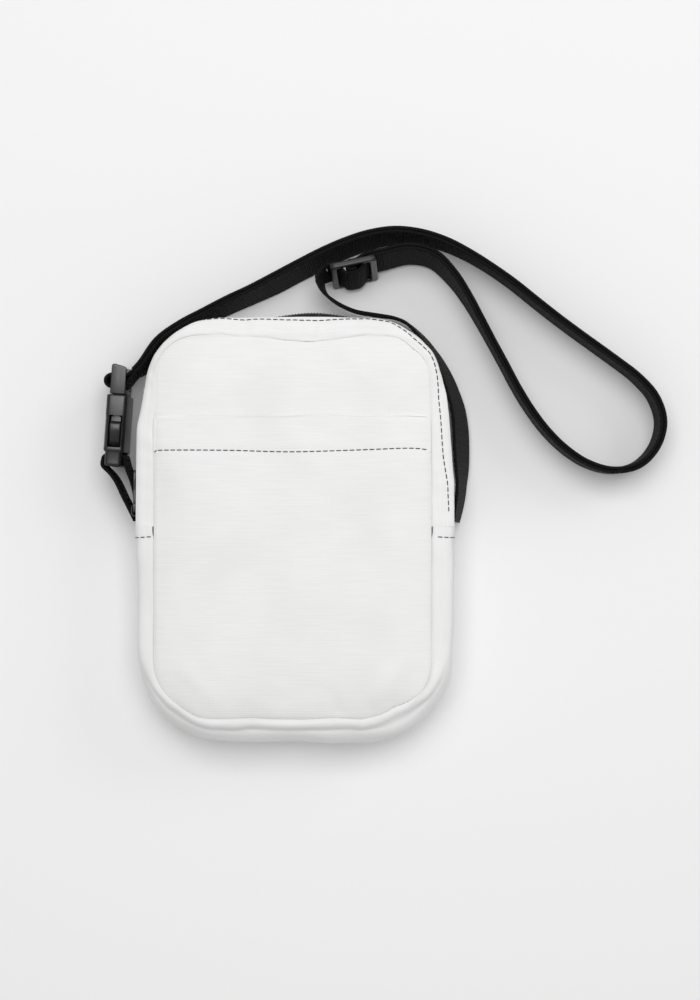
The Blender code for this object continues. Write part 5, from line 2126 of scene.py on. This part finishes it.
@dataclass
class Buckle:
    """The side-release buckle: socket, plug and the plug's two spring arms."""

    finishes: Finishes

    # Along the socket: the place, half its thickness, half its width and its corner radius
    SOCKET = (
        (-23.5, 2.9, 15.2, 1.1), (-23.25, 3.4, 15.7, 1.4), (-22.7, 3.72, 15.98, 1.6),
        (-22.0, 3.8, 16.03, 1.6), (-17.2, 3.8, 16.03, 1.6), (-16.9, 4.0, 16.1, 1.6),
        (-16.6, 4.4, 16.3, 1.7), (-16.1, 4.62, 16.45, 1.8), (-15.4, 4.7, 16.5, 2.0),
        (-14.4, 4.7, 16.5, 2.7), (-0.9, 4.7, 16.5, 2.7), (0.0, 4.7, 16.5, 1.9), (8.1, 4.7, 16.5, 1.8),
        (8.8, 4.62, 16.42, 1.75), (9.15, 4.42, 16.22, 1.7), (9.3, 4.15, 15.95, 1.6))
    # Along an arm: the place, half its thickness, its inner and outer edge and its corner radius
    SHANK = ((9.3, 1.6, 10.3, 12.9, 0.4), (9.0, 1.8, 10.1, 13.1, 0.5), (2.0, 1.8, 10.1, 13.0, 0.5),
             (-4.0, 1.8, 10.1, 13.0, 0.5), (-7.4, 1.8, 10.1, 13.0, 0.5))
    PAD = ((-0.5, 2.2, 10.0, 12.7, 0.4), (-0.75, 2.5, 9.7, 13.1, 0.5), (-2.8, 2.6, 9.6, 13.2, 0.6),
           (-3.0, 2.6, 9.6, 14.6, 0.7), (-3.3, 2.6, 9.6, 15.6, 0.7), (-3.8, 2.6, 9.6, 16.1, 0.8),
           (-4.8, 2.6, 9.6, 16.3, 0.8), (-7.0, 2.6, 9.6, 16.2, 0.8), (-9.5, 2.6, 9.6, 15.6, 0.8),
           (-12.0, 2.6, 9.6, 14.7, 0.8), (-13.6, 2.6, 9.6, 13.9, 0.8), (-14.1, 2.5, 9.7, 13.5, 0.7),
           (-14.3, 2.2, 10.0, 13.1, 0.5))
    RAIL = ((9.6, -3.4), (21.3, -3.4), (21.9, -3.1), (22.3, -2.5), (22.7, -1.0), (23.0, 0.4), (23.3, 1.8),
            (23.3, 2.6), (22.9, 3.2), (22.3, 3.4), (9.6, 3.4))

    def block(self, name: str, low: Sequence[float], high: Sequence[float], rounding: float = 0.5,
              segments: int = 3) -> Piece:
        """A box of the buckle's plastic in its frame."""
        return block(name, low, high, BUCKLE_FRAME, self.finishes.plastic, rounding, segments)

    def loft(self, name: str, stations: Sequence[Station]) -> Piece:
        """A solid of the buckle's plastic through stations in its frame."""
        return loft(name, stations, BUCKLE_FRAME, self.finishes.plastic)

    def build_socket(self) -> None:
        """Makes the socket: a hollow box with a window in each side and a barred tail."""
        socket = self.loft("socket", [(x, -y, y, -z, z, radius) for x, y, z, radius in self.SOCKET])
        carve(socket,
              self.block("cavity", (-15.3, -2.8, -13.6), (12.0, 2.8, 13.6), 0.5, 2),
              self.block("tail_slot", (-20.3, -6.0, -13.0), (-16.7, 6.0, 13.0), 0.6),
              self.block("window_upper", (-14.8, -3.0, 12.0), (-0.1, 3.0, 19.0), 0.6),
              self.block("window_lower", (-14.8, -3.0, -19.0), (-0.1, 3.0, -12.0), 0.6))
        ride_on(socket, Body.BAG, Slot.PLASTIC, "buckle_socket")

    def build_plug(self) -> None:
        """Makes the plug: its base, two arched rails, the bar, the neck and the centre guide."""
        plastic = self.finishes.plastic
        base = self.block("plug_base", (9.7, -3.5, -14.9), (11.8, 3.5, 14.9), 0.5, 4)
        rails = [slab(f"plug_rail_{side}", self.RAIL, low, low + 2.5, BUCKLE_FRAME, plastic, 0.6, 4)
                 for side, low in (("upper", 13.0), ("lower", -15.5))]
        line = [BUCKLE_FRAME @ (Vector((15.7, 0.0, z)) * MM) for z in (-13.6, -7.0, 0.0, 7.0, 13.6)]
        bar = rod("plug_bar", line, 1.6 * MM, 20, plastic)
        neck = self.block("plug_neck", (5.6, -2.3, -8.6), (10.7, 2.3, 8.6))
        guide = self.block("plug_guide", (-13.8, -1.15, -2.2), (9.6, 1.15, 2.2))
        plug = merge("buckle_plug_frame", base, *rails, bar, neck, guide)
        ride_on(plug, Body.PLUG, Slot.PLASTIC, "buckle_plug")

    def build_arms(self) -> None:
        """Makes the spring arms, each a shank with a thumb pad at its end."""
        for label, body in (("upper", Body.ARM_UPPER), ("lower", Body.ARM_LOWER)):
            pieces = []
            for part, shape in (("shank", self.SHANK), ("pad", self.PAD)):
                stations = [(x, -y, y, inner, outer, radius) for x, y, inner, outer, radius in shape]
                if label == "lower":
                    stations = upside_down(stations)
                pieces.append(self.loft(f"arm_{part}_{label}", stations))
            ride_on(merge(f"arm_{label}", *pieces), body, Slot.PLASTIC, f"latch_arm_{label}")

    def build(self) -> None:
        """Makes the whole buckle."""
        self.build_socket()
        self.build_plug()
        self.build_arms()
        LOG.info("buckle: socket, plug and arms")


@dataclass
class Studio:
    """The camera straight above, the pale floor and the soft light."""

    finishes: Finishes
    camera_place: tuple[float, float, float] = (0.025, 0.0141, 1.1)
    lens: float = 84.3
    sensor: float = 36.0
    clip: tuple[float, float] = (0.01, 30.0)
    floor_drop: float = 0.2 * MM
    floor_radius: float = 6.0
    room_strength: float = 0.415

    def build_camera(self) -> None:
        """Makes the camera."""
        data = bpy.data.cameras.new("camera")
        data.sensor_fit = "VERTICAL"
        data.sensor_height = self.sensor
        data.lens = self.lens
        data.clip_start, data.clip_end = self.clip
        camera = bpy.data.objects.new("camera", data)
        camera.location = self.camera_place
        bpy.context.scene.collection.objects.link(camera)
        bpy.context.scene.camera = camera

    def build_floor(self) -> None:
        """Makes the floor, a broad disc just below the bag."""
        deselect()
        bpy.ops.mesh.primitive_circle_add(
            vertices=96, radius=self.floor_radius, fill_type="NGON", location=(0, 0, -self.floor_drop))
        floor = named("floor")
        floor.data.materials.append(self.finishes.floor)
        settle(floor)
        floor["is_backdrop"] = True

    def lamp(self, name: str, place: Sequence[float], aim: Sequence[float], size: float,
             watts: float) -> None:
        """Makes a square soft lamp that hangs at a place and faces another.

        Args:
            name: The lamp's name.
            place: Where it hangs.
            aim: What it faces.
            size: Its side.
            watts: Its power.
        """
        data = bpy.data.lights.new(name, "AREA")
        data.shape = "SQUARE"
        data.size = size
        data.energy = watts
        lamp = bpy.data.objects.new(name, data)
        lamp.location = place
        lamp.rotation_euler = (Vector(aim) - Vector(place)).to_track_quat("-Z", "Y").to_euler()
        bpy.context.scene.collection.objects.link(lamp)

    def build_light(self) -> None:
        """Makes the lamps and the even light of the room."""
        self.lamp("overhead_softbox", (0.0, 0.40, 1.55), (0.0, 0.05, 0.0), 0.95, 14.6)
        self.lamp("side_softbox", (1.3, 0.9, 1.2), (0.0, 0.0, 0.0), 0.8, 4.8)
        world = bpy.data.worlds.new("room")
        bpy.context.scene.world = world
        world.use_nodes = True
        background = world.node_tree.nodes["Background"]
        background.inputs["Color"].default_value = (1.0, 1.0, 1.0, 1.0)
        background.inputs["Strength"].default_value = self.room_strength
        bpy.context.scene.view_settings.view_transform = "Standard"

    def build(self) -> None:
        """Makes the whole studio."""
        self.build_camera()
        self.build_floor()
        self.build_light()


def write_sizes(before: object) -> None:
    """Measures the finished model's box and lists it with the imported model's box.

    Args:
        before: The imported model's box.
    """
    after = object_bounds()
    boxes = [[list(map(float, corner)) for corner in box] for box in (before, after)]


def main() -> None:
    """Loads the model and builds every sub-assembly in order."""
    logging.basicConfig(level=logging.INFO, format="%(name)s: %(message)s")
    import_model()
    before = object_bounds()
    finishes = Finishes()
    for assembly in (Studio, BagShell, BagInside, Zip, Strap, Adjuster, Buckle):
        assembly(finishes).build()
    write_sizes(before)


if __name__ == "__main__":
    main()
